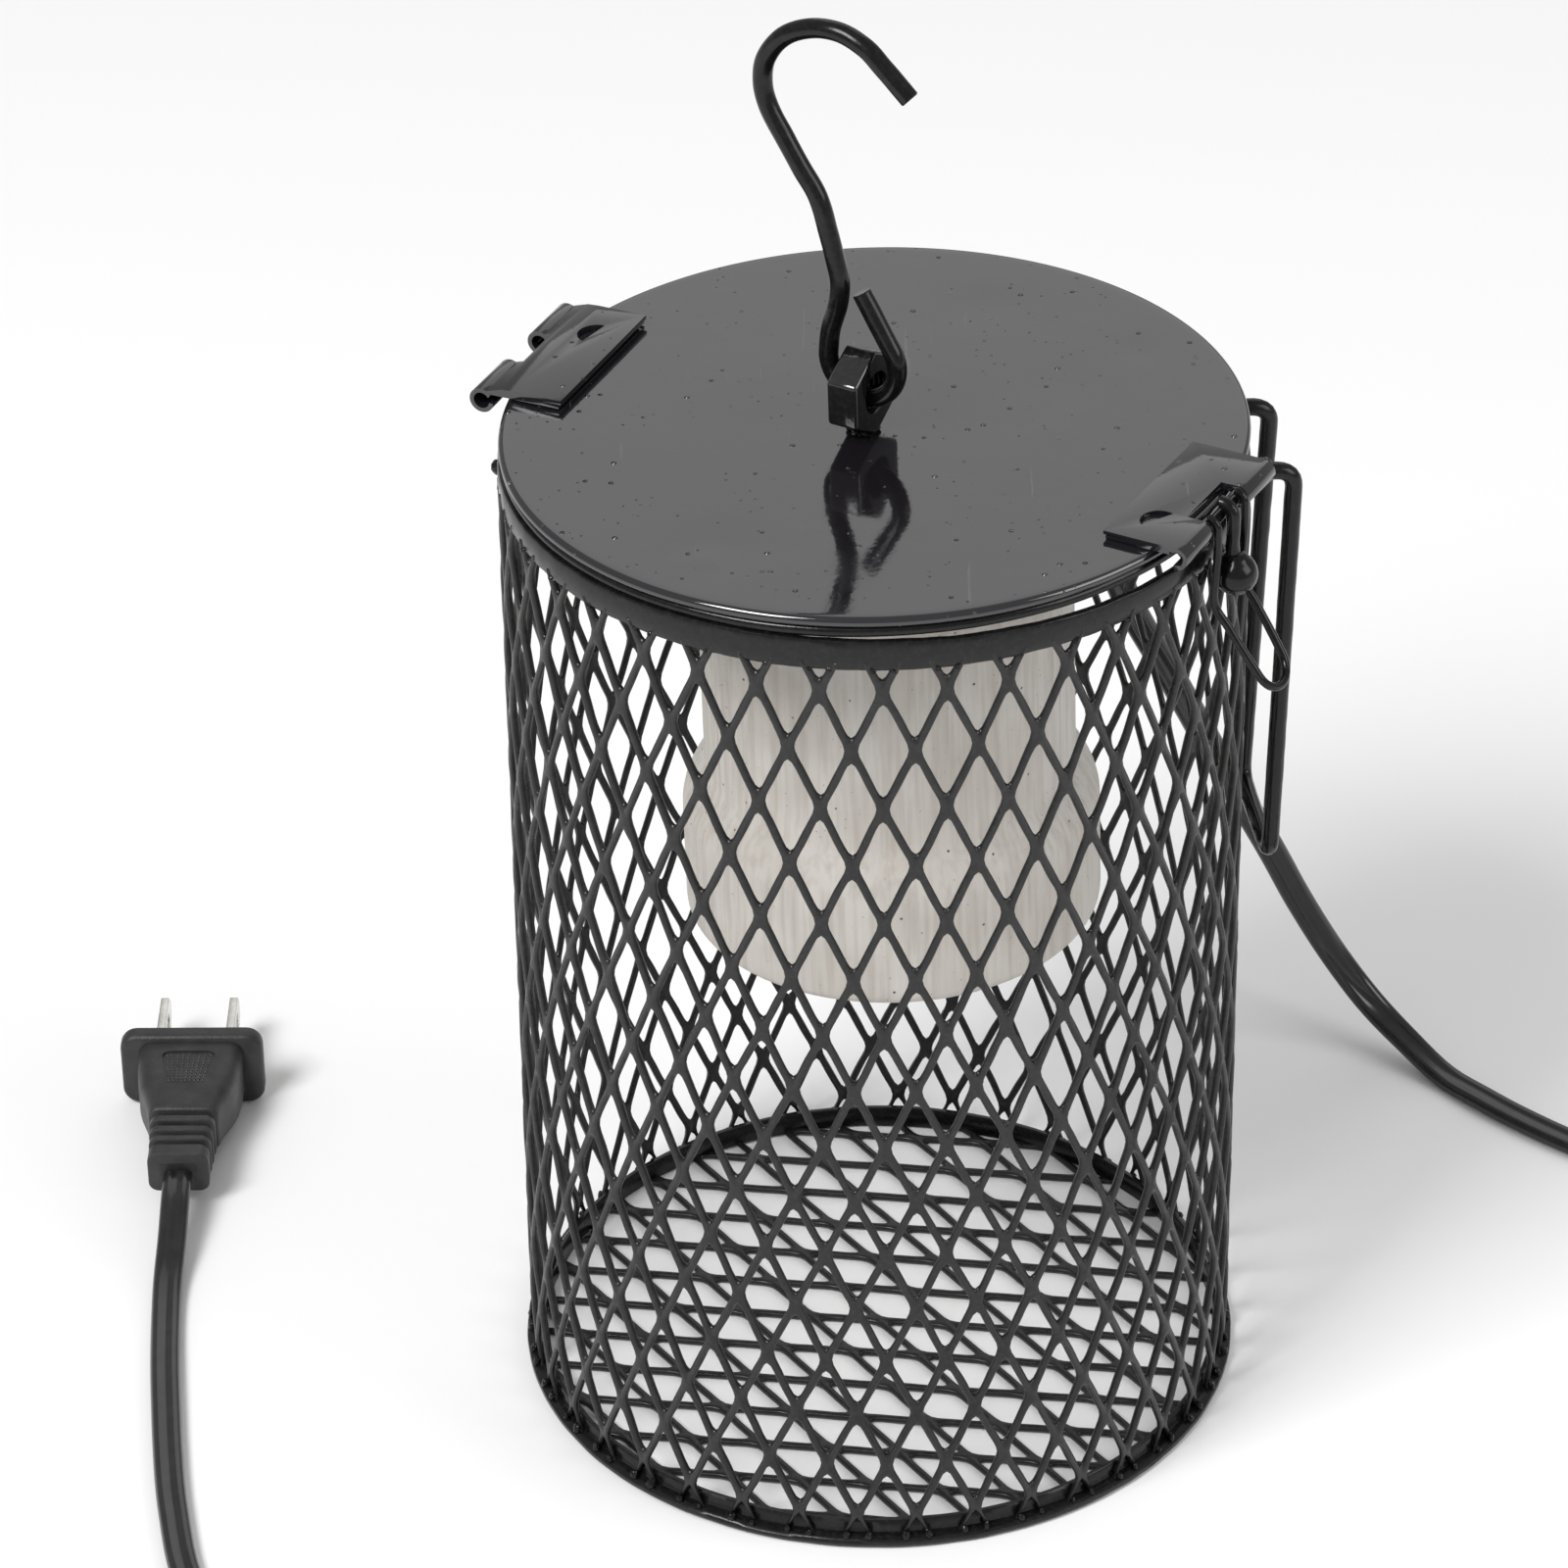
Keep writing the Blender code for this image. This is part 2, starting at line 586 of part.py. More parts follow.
def lead(parent):
    """The flat cord's stretch inside the cage, from the well to the wall."""
    start = Vector((HOLDER_X + 5 * MM, 14 * MM, WELL_FLOOR + 4 * MM))
    end = cord_way() - 1.2 * GAP * polar(radians(70), 1)
    knots = [start, start + Vector((0.5, 2.0, 5.0)) * MM, start + Vector((2.0, 8.0, 9.5)) * MM,
             Vector((11 * MM, 31 * MM, 171.0 * MM)), Vector((14 * MM, 42 * MM, 168.0 * MM)), end]
    wire("lead", catmull(knots, 3.5 * MM), LEAD_R, PVC, parent)


def cord_way():
    """Where the cord's outer stretch starts, just inside the wall at the back."""
    return Vector((17.3 * MM, 52.5 * MM, 163.5 * MM))


def ball_arm(parent):
    """Thick wire hooked over the latch pin, with a ball on its lower end."""
    bend = PIN_R + PIN_PLAY + ARM_R
    path = [polar(LATCH_AZ, n, 0, z) for n, z in arc((PIN_N, PIN_Z), bend, 80, 0, 8)]
    end = polar(LATCH_AZ, BALL_N - 1.0 * MM, 0, PIN_Z - BALL_DROP + BALL_R + GAP)
    path += [path[-1].lerp(end, share) for share in (0.5, 1.0)]
    wire("ball_stem", path, ARM_R, ENAMEL, parent)
    bm = bmesh.new()
    bmesh.ops.create_uvsphere(bm, u_segments=20, v_segments=12, radius=BALL_R)
    ball = mesh_object("ball_knob", bm, ENAMEL, parent)
    ball.location = polar(LATCH_AZ, BALL_N, 0, PIN_Z - BALL_DROP)


def wire_clip(parent):
    """Thin wire loop whose two eyes hang on the latch pin, either side of the ball arm."""
    bend = PIN_R + PIN_PLAY + CLIP_R

    def down(distance, along):
        return (PIN_N + CLIP_ELBOW[0] + sin(CLIP_LEAN) * distance, along,
                PIN_Z - CLIP_ELBOW[1] - cos(CLIP_LEAN) * distance)

    half = [(n, CLIP_HALF, z) for n, z in arc((PIN_N, PIN_Z), bend, 85, 0, 6)]
    half += [(PIN_N + bend, CLIP_HALF, PIN_Z - 4 * MM), (PIN_N + bend - 0.3 * MM, CLIP_HALF, PIN_Z - 8.5 * MM)]
    half += [down(0, CLIP_HALF), down(4.5 * MM, CLIP_HALF * 0.97), down(9 * MM, CLIP_HALF * 0.93)]
    half += [down(CLIP_LENGTH - CLIP_TIP + z, t) for t, z in arc((0, 0), CLIP_TIP, 0, 80, 4)]
    knots = half + [down(CLIP_LENGTH, 0)] + [(n, -t, z) for n, t, z in reversed(half)]
    wire("clip_loop", [polar(LATCH_AZ, n, t, z) for n, t, z in knots], CLIP_R, WIRE_ENAMEL, parent)


def s_hook(parent):
    """S-shaped hook: a small lower loop through the nut, a stem, and a wide open hook on top."""
    path = [(0.9 * MM, 18.6 * MM), (2.6 * MM, 15.4 * MM)]
    path += arc((0.2 * MM, EYE_R), EYE_R, 62, -178, 23)
    path += [(-5.6 * MM, 10.6 * MM), (-4.2 * MM, 15.4 * MM), (-3.8 * MM, 19.6 * MM), (-4.6 * MM, 23.4 * MM),
             (-5.8 * MM, 28 * MM), (-7.6 * MM, 33.8 * MM), (-10.4 * MM, 38 * MM), (-13.6 * MM, 43 * MM),
             (-16.2 * MM, 47.4 * MM), (-17.3 * MM, 51.6 * MM), (-16.6 * MM, 56 * MM), (-13.4 * MM, 60.4 * MM),
             (-8.6 * MM, 63 * MM), (-3.4 * MM, 63.6 * MM), (1.2 * MM, 62 * MM), (4.6 * MM, 59.2 * MM),
             (9.2 * MM, 55 * MM)]
    points = catmull([(x, 0, z) for x, z in path], 2.4 * MM)
    wire("s_hook", points, S_WIRE, ENAMEL, parent, turn=(0, HOOK_LEAN, EYE_AZ),
         at=(NUT_X, NUT_Y, NUT_Z - EYE_DROP))


def lid():
    axis = polar(HOOK_AZ, KNUCKLE_N, 0, KNUCKLE_Z)
    pivot = empty("lid_pivot", axis)
    cylinder("lid_disc", LID_R, LID_T, (0, 0, LID_TOP - LID_T / 2), ENAMEL, pivot, sides=72)
    bpy.ops.mesh.primitive_torus_add(
        major_radius=58.4 * MM, minor_radius=BEAD_R, major_segments=48, minor_segments=6,
        location=(0, 0, LID_TOP - LID_T - GAP - BEAD_R))
    bead = bpy.context.object
    bead.name = "lid_bead"
    smooth(bead.data)
    link(bead, ENAMEL, pivot)
    hook_bracket(pivot)
    latch_bracket(pivot)
    cylinder("latch_pin", PIN_R, LEAF_L - 4 * MM, polar(LATCH_AZ, PIN_N, 0, PIN_Z), ENAMEL, pivot,
             sides=16, turn=(pi / 2, 0, LATCH_AZ))
    hanger_nut(pivot)
    socket_strap(pivot)
    for name, side in (("left", -1), ("right", 1)):
        socket_screw(f"socket_screw_{name}", side, pivot)
        socket_nut(f"socket_nut_{name}", side, pivot)
    porcelain_holder(pivot)
    screw_shell(pivot)
    centre_contact(pivot)
    terminal("terminal_rear", 1, pivot)
    terminal("terminal_front", -1, pivot)
    lead(pivot)
    latch_pivot = empty("latch_pivot", polar(LATCH_AZ, PIN_N, 0, PIN_Z), pivot)
    ball_arm(latch_pivot)
    wire_clip(latch_pivot)
    hook_pivot = empty("hook_pivot", Vector((NUT_X, NUT_Y, NUT_Z - EYE_DROP)), pivot)
    s_hook(hook_pivot)
    pivot.rotation_mode = "AXIS_ANGLE"
    pivot.rotation_axis_angle = (LID_TILT, *polar(HOOK_AZ, 0, 1))


# ---- cord and plug ----
def cord():
    """The flat cord from the wall to the coil, and from the coil to the plug. Its knots are in millimetres."""
    drop = [
        (19.4, 58.7, 160.8), (22.5, 64.5, 157.0), (28.5, 68.5, 148.5), (35.5, 67.5, 133.0), (43.2, 65.0, 110.0),
        (51.9, 68.5, 90.5), (61.5, 75.0, 67.6), (71.0, 80.5, 46.4), (76.9, 84.0, 32.4), (83.5, 85.5, 19.6),
        (90.6, 83.5, 9.8), (97.4, 78.0, 4.6),
    ]
    laid = [
        (103.8, 71.1), (110.1, 64.1), (116.4, 57.8), (125.6, 50.0), (140.0, 40.0), (154.0, 31.5),
        (168.0, 23.5), (180.0, 17.0),
    ]
    knots = [cord_way()] + [Vector(p) * MM for p in drop]
    knots += [Vector((x * MM, y * MM, CORD_FLOOR)) for x, y in laid]
    wire("cord", catmull(knots, 11 * MM), CORD_R, PVC)
    back = [
        (176.0, -64.0), (150.0, -71.0), (118.0, -82.0), (80.0, -92.0), (30.0, -99.0), (-30.0, -102.0),
        (-74.0, -101.0), (-99.0, -92.0), (-113.0, -75.0), (-119.0, -52.0), (-123.0, -20.0), (-125.0, 6.0),
    ]
    plug_x, plug_y = PLUG_AT
    knots = [Vector((x * MM, y * MM, CORD_FLOOR)) for x, y in back]
    knots += [Vector((plug_x, plug_y - 50 * MM, CORD_FLOOR + 2.6 * MM)),
              Vector((plug_x, plug_y - 41 * MM, PLUG_Z - 0.4 * MM)),
              Vector((plug_x, plug_y - PLUG_LENGTH - 2 * GAP, PLUG_Z))]
    wire("cord_to_plug", catmull(knots, 11 * MM), CORD_R, PVC)


def coil():
    """The wound length of the cord as one ring, with its twist tie."""
    inner, outer = COIL_MEAN - COIL_HALF, COIL_MEAN + COIL_HALF
    ring("cord_coil", inner, outer, COIL_LOW, COIL_HIGH, PVC, at=COIL_AT, sides=36)
    reach = COIL_HALF + GAP + TIE_R
    middle, half = (COIL_LOW + COIL_HIGH) / 2, (COIL_HIGH - COIL_LOW) / 2 + GAP + TIE_R
    azimuth = radians(-20)
    corner = 1.2 * MM
    loop = []
    for turn, (side, rise) in enumerate(((1, 1), (-1, 1), (-1, -1), (1, -1))):
        loop += arc((COIL_MEAN + side * (reach - corner), middle + rise * (half - corner)), corner,
                    90 * turn, 90 * turn + 90, 3)
    places = [polar(azimuth, n, 0, z) + Vector((*COIL_AT, 0)) for n, z in loop]
    wire("coil_tie", places, TIE_R, TIE_VINYL, cyclic=True)


def tapered_block(name, front, back, y_front, y_back, material, bevel, cutter=False, segments=2):
    """Block between two rectangles, (width, height) at each end, lying along Y on the plug's axis."""
    bm = bmesh.new()
    bmesh.ops.create_cube(bm, size=1)
    for vert in bm.verts:
        width, height = front if vert.co.y > 0 else back
        vert.co = ((1 if vert.co.x > 0 else -1) * width / 2, y_front if vert.co.y > 0 else y_back,
                   (1 if vert.co.z > 0 else -1) * height / 2)
    made = mesh_object(name, bm, material, cutter=cutter)
    made.location = (PLUG_AT[0], PLUG_AT[1], PLUG_Z)
    edge = made.modifiers.new("edges", "BEVEL")
    edge.width = bevel
    edge.segments = segments
    return made


def plug():
    """Moulded two-blade plug lying on its broad side, its blades pointing away along +Y."""
    body = tapered_block("plug_body", (18.8 * MM, 13 * MM), (12.6 * MM, 9.6 * MM), -2 * MM, -PLUG_BODY,
                         PLUG_PVC, 1.6 * MM)
    flange = tapered_block("plug_flange", (26 * MM, 15 * MM), (25.6 * MM, 14.6 * MM), 0, -3.4 * MM,
                           None, 1.2 * MM, cutter=True)
    cut(body, flange, "UNION")
    for side in (-1, 1):
        slot = box(f"blade_slot_{side}", (BLADE_T + 2 * GAP, 12 * MM, BLADE_H + 2 * GAP),
                   (PLUG_AT[0] + side * BLADE_GAP / 2, PLUG_AT[1], PLUG_Z), cutter=True)
        cut(body, slot)
        blade("left" if side < 0 else "right", side)
    relief = tapered_block("plug_relief", (9.0 * MM, 6.8 * MM), (7.0 * MM, 5.4 * MM), -PLUG_BODY - GAP,
                           -PLUG_LENGTH, PLUG_PVC, 0.8 * MM)
    for number in range(RIBS):
        share = number / (RIBS - 1)
        middle = -PLUG_BODY - 1.6 * MM - share * (PLUG_LENGTH - PLUG_BODY - 3.0 * MM)
        width, height = (11.8 - 1.2 * share) * MM, (8.8 - 0.8 * share) * MM
        rib = tapered_block(f"relief_rib_{number}", (width, height), (width, height), middle + 0.95 * MM,
                            middle - 0.95 * MM, None, 0.4 * MM, cutter=True, segments=1)
        cut(relief, rib, "UNION")


def blade(name, side):
    """Flat blade with a chamfered tip and a round hole, standing on edge."""
    chamfer = 1.8 * MM
    inside = -5.4 * MM
    half, tip = BLADE_H / 2, BLADE_REACH - chamfer
    outline = [(inside, -half), (tip, -half), (BLADE_REACH, chamfer - half),
               (BLADE_REACH, half - chamfer), (tip, half), (inside, half)]
    hole = arc((BLADE_REACH - 5.2 * MM, 0), 1.55 * MM, 0, 337.5, 15)
    plate(f"plug_blade_{name}", [outline, hole], BLADE_T, NICKEL, turn=(pi / 2, 0, pi / 2),
          at=(PLUG_AT[0] + side * BLADE_GAP / 2, PLUG_AT[1], PLUG_Z))


cage()
lid()
cord()
coil()
plug()
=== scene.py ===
"""Looks of the caged heat lamp fixture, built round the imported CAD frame.

Metres, +Z up, with the origin at the middle of the cage's base.
"""
import random
from math import asin, cos, degrees, exp, hypot, pi, radians, sin, sqrt

import bmesh
import bpy
from mathutils import Matrix, Quaternion, Vector, noise


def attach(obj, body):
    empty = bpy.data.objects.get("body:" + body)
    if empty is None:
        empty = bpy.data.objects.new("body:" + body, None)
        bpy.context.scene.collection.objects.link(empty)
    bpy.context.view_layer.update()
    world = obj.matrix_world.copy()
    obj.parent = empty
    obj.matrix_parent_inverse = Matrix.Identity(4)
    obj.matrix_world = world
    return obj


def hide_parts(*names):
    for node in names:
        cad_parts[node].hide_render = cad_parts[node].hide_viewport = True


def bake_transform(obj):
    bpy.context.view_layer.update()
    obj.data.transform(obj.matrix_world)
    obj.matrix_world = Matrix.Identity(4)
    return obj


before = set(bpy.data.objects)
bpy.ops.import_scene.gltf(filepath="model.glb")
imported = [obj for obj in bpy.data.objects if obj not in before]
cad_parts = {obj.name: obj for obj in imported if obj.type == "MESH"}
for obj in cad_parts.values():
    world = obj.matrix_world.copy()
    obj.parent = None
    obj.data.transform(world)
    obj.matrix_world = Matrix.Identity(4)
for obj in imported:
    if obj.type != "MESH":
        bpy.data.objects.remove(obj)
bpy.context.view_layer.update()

MM = 0.001
GAP = 0.3 * MM

# ---- where things are: the same driving dimensions as the CAD model ----
WALL_R = 59.9 * MM                 # middle of the expanded metal wall
WALL_T = 1.15 * MM
COLUMNS = 38
HALF_ROW = 10.85 * MM
TOP_NODE_Z = 168.9 * MM            # first row of bonds under the band
TOP_NODE_AZ = radians(-88.9)
NET_TOP, NET_LOW = 174.4 * MM, 0.7 * MM
STRAND = 0.68 * MM                 # half a strand's width, before subdivision rounds it
FLOOR_NET_AZ = radians(-31)

LID_R = 60.2 * MM
LID_TOP = 180.4 * MM
LID_TILT = radians(1.2)
HOOK_AZ = radians(155)
LATCH_AZ = radians(-29.2)
KNUCKLE_N = 62.4 * MM
KNUCKLE_Z = LID_TOP + 0.2 * MM
ROLL_OUT, ROLL_DROP = 0.4 * MM, 1.3 * MM
LEAF_L = 31 * MM
LEAF_BEVEL = 0.14 * MM
LEAF_IN = 48.3 * MM
LATCH_IN = 49.3 * MM
LATCH_OUT = 63.8 * MM
FOLD_R = 1.9 * MM
SHEET = 0.8 * MM
PIN_N, PIN_Z, PIN_R = LATCH_OUT - FOLD_R, LID_TOP - 0.5 * MM, 0.9 * MM
BALL_R, BALL_N, BALL_DROP = 3.5 * MM, 64.6 * MM, 10 * MM

HANGER_AZ = radians(8)
HANGER_N = 66 * MM
HANGER_R = 1.45 * MM

NUT_AT = Vector((-1.7 * MM, -2.4 * MM, LID_TOP + 7.8 * MM))
NUT_FLATS = 13 * MM
NUT_T = 5.4 * MM
NUT_HOLE = 3.3 * MM
EYE_AZ = radians(-30)
EYE_DROP = 1.3 * MM
HOOK_LEAN = radians(1)
S_WIRE = 1.6 * MM

HOLDER_X = 1.2 * MM
HOLDER_TOP = LID_TOP - 12 * MM
HOLDER_R = 30.6 * MM
SKIRT_R = 34.5 * MM
SHOULDER_Z = LID_TOP - 61.5 * MM
SKIRT_TOP = LID_TOP - 69 * MM
SKIRT_BOTTOM = LID_TOP - 89.8 * MM
MOUTH_R = 30.8 * MM
LEDGE_Z = SKIRT_BOTTOM + 11 * MM
BORE_R = 15.6 * MM
BORE_TOP = HOLDER_TOP - 19 * MM
WELL_R = 21 * MM
WELL_FLOOR = HOLDER_TOP - 10 * MM
SHELL_R = 14.6 * MM
SHELL_BOTTOM = LEDGE_Z + 6 * MM
SHELL_H = 25 * MM

CORD_W = 5.2 * MM                  # flat cord, across its two conductors
CORD_T = 2.6 * MM
EXIT_SIDE = Vector((-0.94, 0.33, 0))  # across the cord where it goes through the wall
COIL_AT = Vector((166 * MM, -23 * MM, 0))
COIL_R = 30 * MM
PLUG_AT = Vector((-125 * MM, 70 * MM, 7.6 * MM))
PLUG_LENGTH = 35 * MM
BLADE_GAP = 12.7 * MM

CAMERA_AT = (-0.00074, -0.93299, 0.72407)
CAMERA_AIM = Vector((-0.01296562, 0.83642708, -0.54792484))
CAMERA_ROLL = -0.0147


# ---- small geometry helpers ----
def polar(azimuth, radial, along=0.0, height=0.0):
    """The place at a distance out from the axis and a distance along the tangent."""
    c, s = cos(azimuth), sin(azimuth)
    return Vector((c * radial - s * along, s * radial + c * along, height))


def in_mm(points):
    """Points given in millimetres, in metres."""
    return [tuple(value * MM for value in point) for point in points]


HOOK_POINT = polar(HOOK_AZ, KNUCKLE_N, 0, KNUCKLE_Z)
TILT = (Matrix.Translation(HOOK_POINT)
        @ Matrix.Rotation(LID_TILT, 4, Vector((-sin(HOOK_AZ), cos(HOOK_AZ), 0)))
        @ Matrix.Translation(-HOOK_POINT))
LEVEL = Matrix.Identity(4)


def arc(centre, radius, start, end, steps):
    """Points of a circular arc, with its angles in degrees."""
    turn = [radians(start + (end - start) * i / steps) for i in range(steps + 1)]
    return [(centre[0] + radius * cos(a), centre[1] + radius * sin(a)) for a in turn]


def catmull(points, spacing):
    """Points at about the given spacing on a smooth curve through the given ones."""
    knots = [Vector(p) for p in points]
    knots = [2 * knots[0] - knots[1]] + knots + [2 * knots[-1] - knots[-2]]
    dense = []
    for a, b, c, d in zip(knots, knots[1:], knots[2:], knots[3:]):
        for i in range(16):
            t = i / 16
            dense.append(0.5 * (2 * b + (c - a) * t + (2 * a - 5 * b + 4 * c - d) * t ** 2
                                + (3 * b - a - 3 * c + d) * t ** 3))
    dense.append(knots[-2])
    length = sum((q - p).length for p, q in zip(dense, dense[1:]))
    count = max(2, round(length / spacing))
    out, walked, index = [dense[0]], 0.0, 0
    for step in range(1, count):
        goal = length * step / count
        while walked + (dense[index + 1] - dense[index]).length < goal:
            walked += (dense[index + 1] - dense[index]).length
            index += 1
        part = (goal - walked) / (dense[index + 1] - dense[index]).length
        out.append(dense[index].lerp(dense[index + 1], part))
    return out + [dense[-1]]


def filleted(points, radius):
    """Points along a bent line, with its corners rounded off."""
    out = [points[0]]
    for before, corner, after in zip(points, points[1:], points[2:]):
        start = corner + (before - corner).normalized() * radius
        end = corner + (after - corner).normalized() * radius
        run = max(1, round((start - out[-1]).length / (2 * MM)))
        out += [out[-1].lerp(start, i / run) for i in range(1, run)]
        out += [start.lerp(corner, t / 6).lerp(corner.lerp(end, t / 6), t / 6) for t in range(7)]
    return out + [points[-1]]


def wobble(place, size, seed=0.0):
    """Smooth noise from -1 to 1 with features of about the given size."""
    return noise.noise(Vector(place) / size + Vector((seed, 2 * seed, 3 * seed)))


def smoothstep(low, high, value):
    t = min(1.0, max(0.0, (value - low) / (high - low)))
    return t * t * (3 - 2 * t)


def sign(value):
    return (value > 0) - (value < 0)


# ---- making pieces ----
def linked(name, data):
    made = bpy.data.objects.new(name, data)
    bpy.context.scene.collection.objects.link(made)
    return made


def piece(name, mesh, material, body, replaces=(), matrix=LEVEL, angle=40):
    """Links a mesh as a visible piece that rides on a body, if one is named, and may stand for CAD nodes."""
    mesh.shade_smooth()
    mesh.set_sharp_from_angle(angle=radians(angle))
    made = linked(name, mesh)
    made.matrix_world = matrix
    made.data.materials.append(material)
    if replaces:
        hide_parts(*replaces)
    if body:
        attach(made, body)
    return made


def stored(name, bm):
    mesh = bpy.data.meshes.new(name)
    bm.to_mesh(mesh)
    bm.free()
    return mesh


def to_mesh(name, bm):
    """A mesh of the bmesh, with its faces pointing out."""
    bmesh.ops.recalc_face_normals(bm, faces=bm.faces)
    return stored(name, bm)


def bridge(bm, first, second):
    """Quads between two closed rows that have as many vertices."""
    for i in range(len(first)):
        j = (i + 1) % len(first)
        bm.faces.new((first[i], first[j], second[j], second[i]))


def applied(mesh, *changes):
    """The mesh after the given modifiers, each (type, {setting: value})."""
    guide = linked("guide", mesh)
    for kind, settings in changes:
        change = guide.modifiers.new(kind.lower(), kind)
        for key, value in settings.items():
            setattr(change, key, value)
    bpy.context.view_layer.update()
    out = bpy.data.meshes.new_from_object(guide.evaluated_get(bpy.context.evaluated_depsgraph_get()))
    bpy.data.objects.remove(guide, do_unlink=True)
    return out


def subtract(mesh, *cutters):
    """The mesh with each cutter mesh taken out of it."""
    tools, changes = [], []
    for cutter in cutters:
        tools.append(linked("cutter", cutter))
        changes.append(("BOOLEAN", {"operation": "DIFFERENCE", "object": tools[-1], "solver": "EXACT"}))
    out = applied(mesh, *changes)
    for tool in tools:
        bpy.data.objects.remove(tool, do_unlink=True)
    return out


def bevelled(mesh, width, segments=2, angle=35):
    return applied(mesh, ("BEVEL", {"width": width, "segments": segments, "limit_method": "ANGLE",
                                    "angle_limit": radians(angle)}))


def joined(name, *meshes):
    bm = bmesh.new()
    for mesh in meshes:
        bm.from_mesh(mesh)
    return stored(name, bm)


def lathe(name, profile, steps, at=(0, 0), shift=None):
    """Closed profile of (radius, height) points turned about Z. shift(radius, height, angle) moves one."""
    bm = bmesh.new()
    rings = []
    for radius, height in profile:
        if radius < 1e-7:
            rings.append([bm.verts.new((at[0], at[1], height))])
            continue
        row = []
        for i in range(steps):
            angle = 2 * pi * i / steps
            r, z = shift(radius, height, angle) if shift else (radius, height)
            row.append(bm.verts.new((at[0] + r * cos(angle), at[1] + r * sin(angle), z)))
        rings.append(row)
    closed = profile[0][0] > 1e-7
    pairs = list(zip(rings, rings[1:] + rings[:1])) if closed else list(zip(rings, rings[1:]))
    for first, second in pairs:
        for i in range(steps):
            j = (i + 1) % steps
            quad = [row[k % len(row)] for row, k in ((first, i), (first, j), (second, j), (second, i))]
            corners = [v for k, v in enumerate(quad) if v not in quad[:k]]
            if len(corners) > 2:
                bm.faces.new(corners)
    return to_mesh(name, bm)


def sweep(name, points, sections, sides_of=None, closed=False):
    """Skin through cross-sections set along a path. sections(i) gives (side, normal) offsets at point i."""
    bm = bmesh.new()
    count = len(points)
    side = None
    rows = []
    for i, place in enumerate(points):
        before = points[i - 1] if i or closed else points[0]
        after = points[(i + 1) % count] if i < count - 1 or closed else points[-1]
        tangent = (after - before).normalized()
        if sides_of:
            side = sides_of(i, tangent)
        elif side is None:
            side = tangent.orthogonal()
        side = (side - tangent * side.dot(tangent)).normalized()
        normal = tangent.cross(side)
        rows.append([bm.verts.new(place + side * a + normal * b) for a, b in sections(i)])
    pairs = list(zip(rows, rows[1:])) + ([(rows[-1], rows[0])] if closed else [])
    for first, second in pairs:
        bridge(bm, first, second)
    if not closed:
        bm.faces.new(list(reversed(rows[0])))
        bm.faces.new(rows[-1])
    return to_mesh(name, bm)


def rod(name, points, radius, sides=18, rough=0.02, lip=0.25, seed=1.0, closed=False, spacing=0.8 * MM):
    """Painted round wire through the given points, with softened ends and slightly uneven paint."""
    path = catmull(points, spacing) if not closed else [Vector(p) for p in points]
    ring = [(cos(2 * pi * k / sides), sin(2 * pi * k / sides)) for k in range(sides)]
    if not closed:
        inset = lip * radius
        first, last = (path[1] - path[0]).normalized(), (path[-1] - path[-2]).normalized()
        path = [path[0], path[0] + first * inset] + path[1:-1] + [path[-1] - last * inset, path[-1]]

    def section(i):
        at_end = not closed and i in (0, len(path) - 1)
        r = radius * (1 - lip if at_end else 1)
        return [(a * r * (1 + rough * wobble(path[i] + Vector((a, b, 0)) * radius, 2.2 * radius, seed)),
                 b * r * (1 + rough * wobble(path[i] + Vector((a, b, 0)) * radius, 2.2 * radius, seed + 5)))
                for a, b in ring]
    return sweep(name, path, section, closed=closed)


def prism(name, outline, low, high, azimuth):
    """Solid from (radial, height) points, extruded along the tangent from low to high."""
    bm = bmesh.new()
    ends = [[bm.verts.new(polar(azimuth, n, t, z)) for n, z in outline] for t in (low, high)]
    bm.faces.new(ends[0])
    bm.faces.new(list(reversed(ends[1])))
    count = len(outline)
    for i in range(count):
        j = (i + 1) % count
        bm.faces.new((ends[0][i], ends[1][i], ends[1][j], ends[0][j]))
    return to_mesh(name, bm)


def slab(name, outline, low, high, place=LEVEL):
    """Solid from (x, y) points, from height low to height high, set in place by a matrix."""
    bm = bmesh.new()
    ends = [[bm.verts.new(place @ Vector((x, y, z))) for x, y in outline] for z in (low, high)]
    bm.faces.new(list(reversed(ends[0])))
    bm.faces.new(ends[1])
    bridge(bm, *ends)
    return to_mesh(name, bm)


def blobs(name, places, size, seed, flat=1.0):
    """Little uneven beads of weld and paint."""
    draw = random.Random(seed)
    bm = bmesh.new()
    for place in places:
        made = bmesh.ops.create_icosphere(bm, subdivisions=3, radius=size * draw.uniform(0.75, 1.2))
        squeeze = Vector((draw.uniform(0.8, 1.15), draw.uniform(0.8, 1.15), flat * draw.uniform(0.8, 1.2)))
        for vert in made["verts"]:
            offset = Vector(vert.co[k] * squeeze[k] for k in range(3))
            vert.co = Vector(place) + offset * (1 + 0.28 * wobble(vert.co, size, draw.random()))
    return to_mesh(name, bm)


# ---- materials ----
def new_material(name, colour, roughness, metallic=0.0, ior=1.5):
    made = bpy.data.materials.new(name)
    made.use_nodes = True
    shader = made.node_tree.nodes["Principled BSDF"]
    shader.inputs["Base Color"].default_value = (*colour, 1)
    shader.inputs["Roughness"].default_value = roughness
    shader.inputs["Metallic"].default_value = metallic
    shader.inputs["IOR"].default_value = ior
    return made


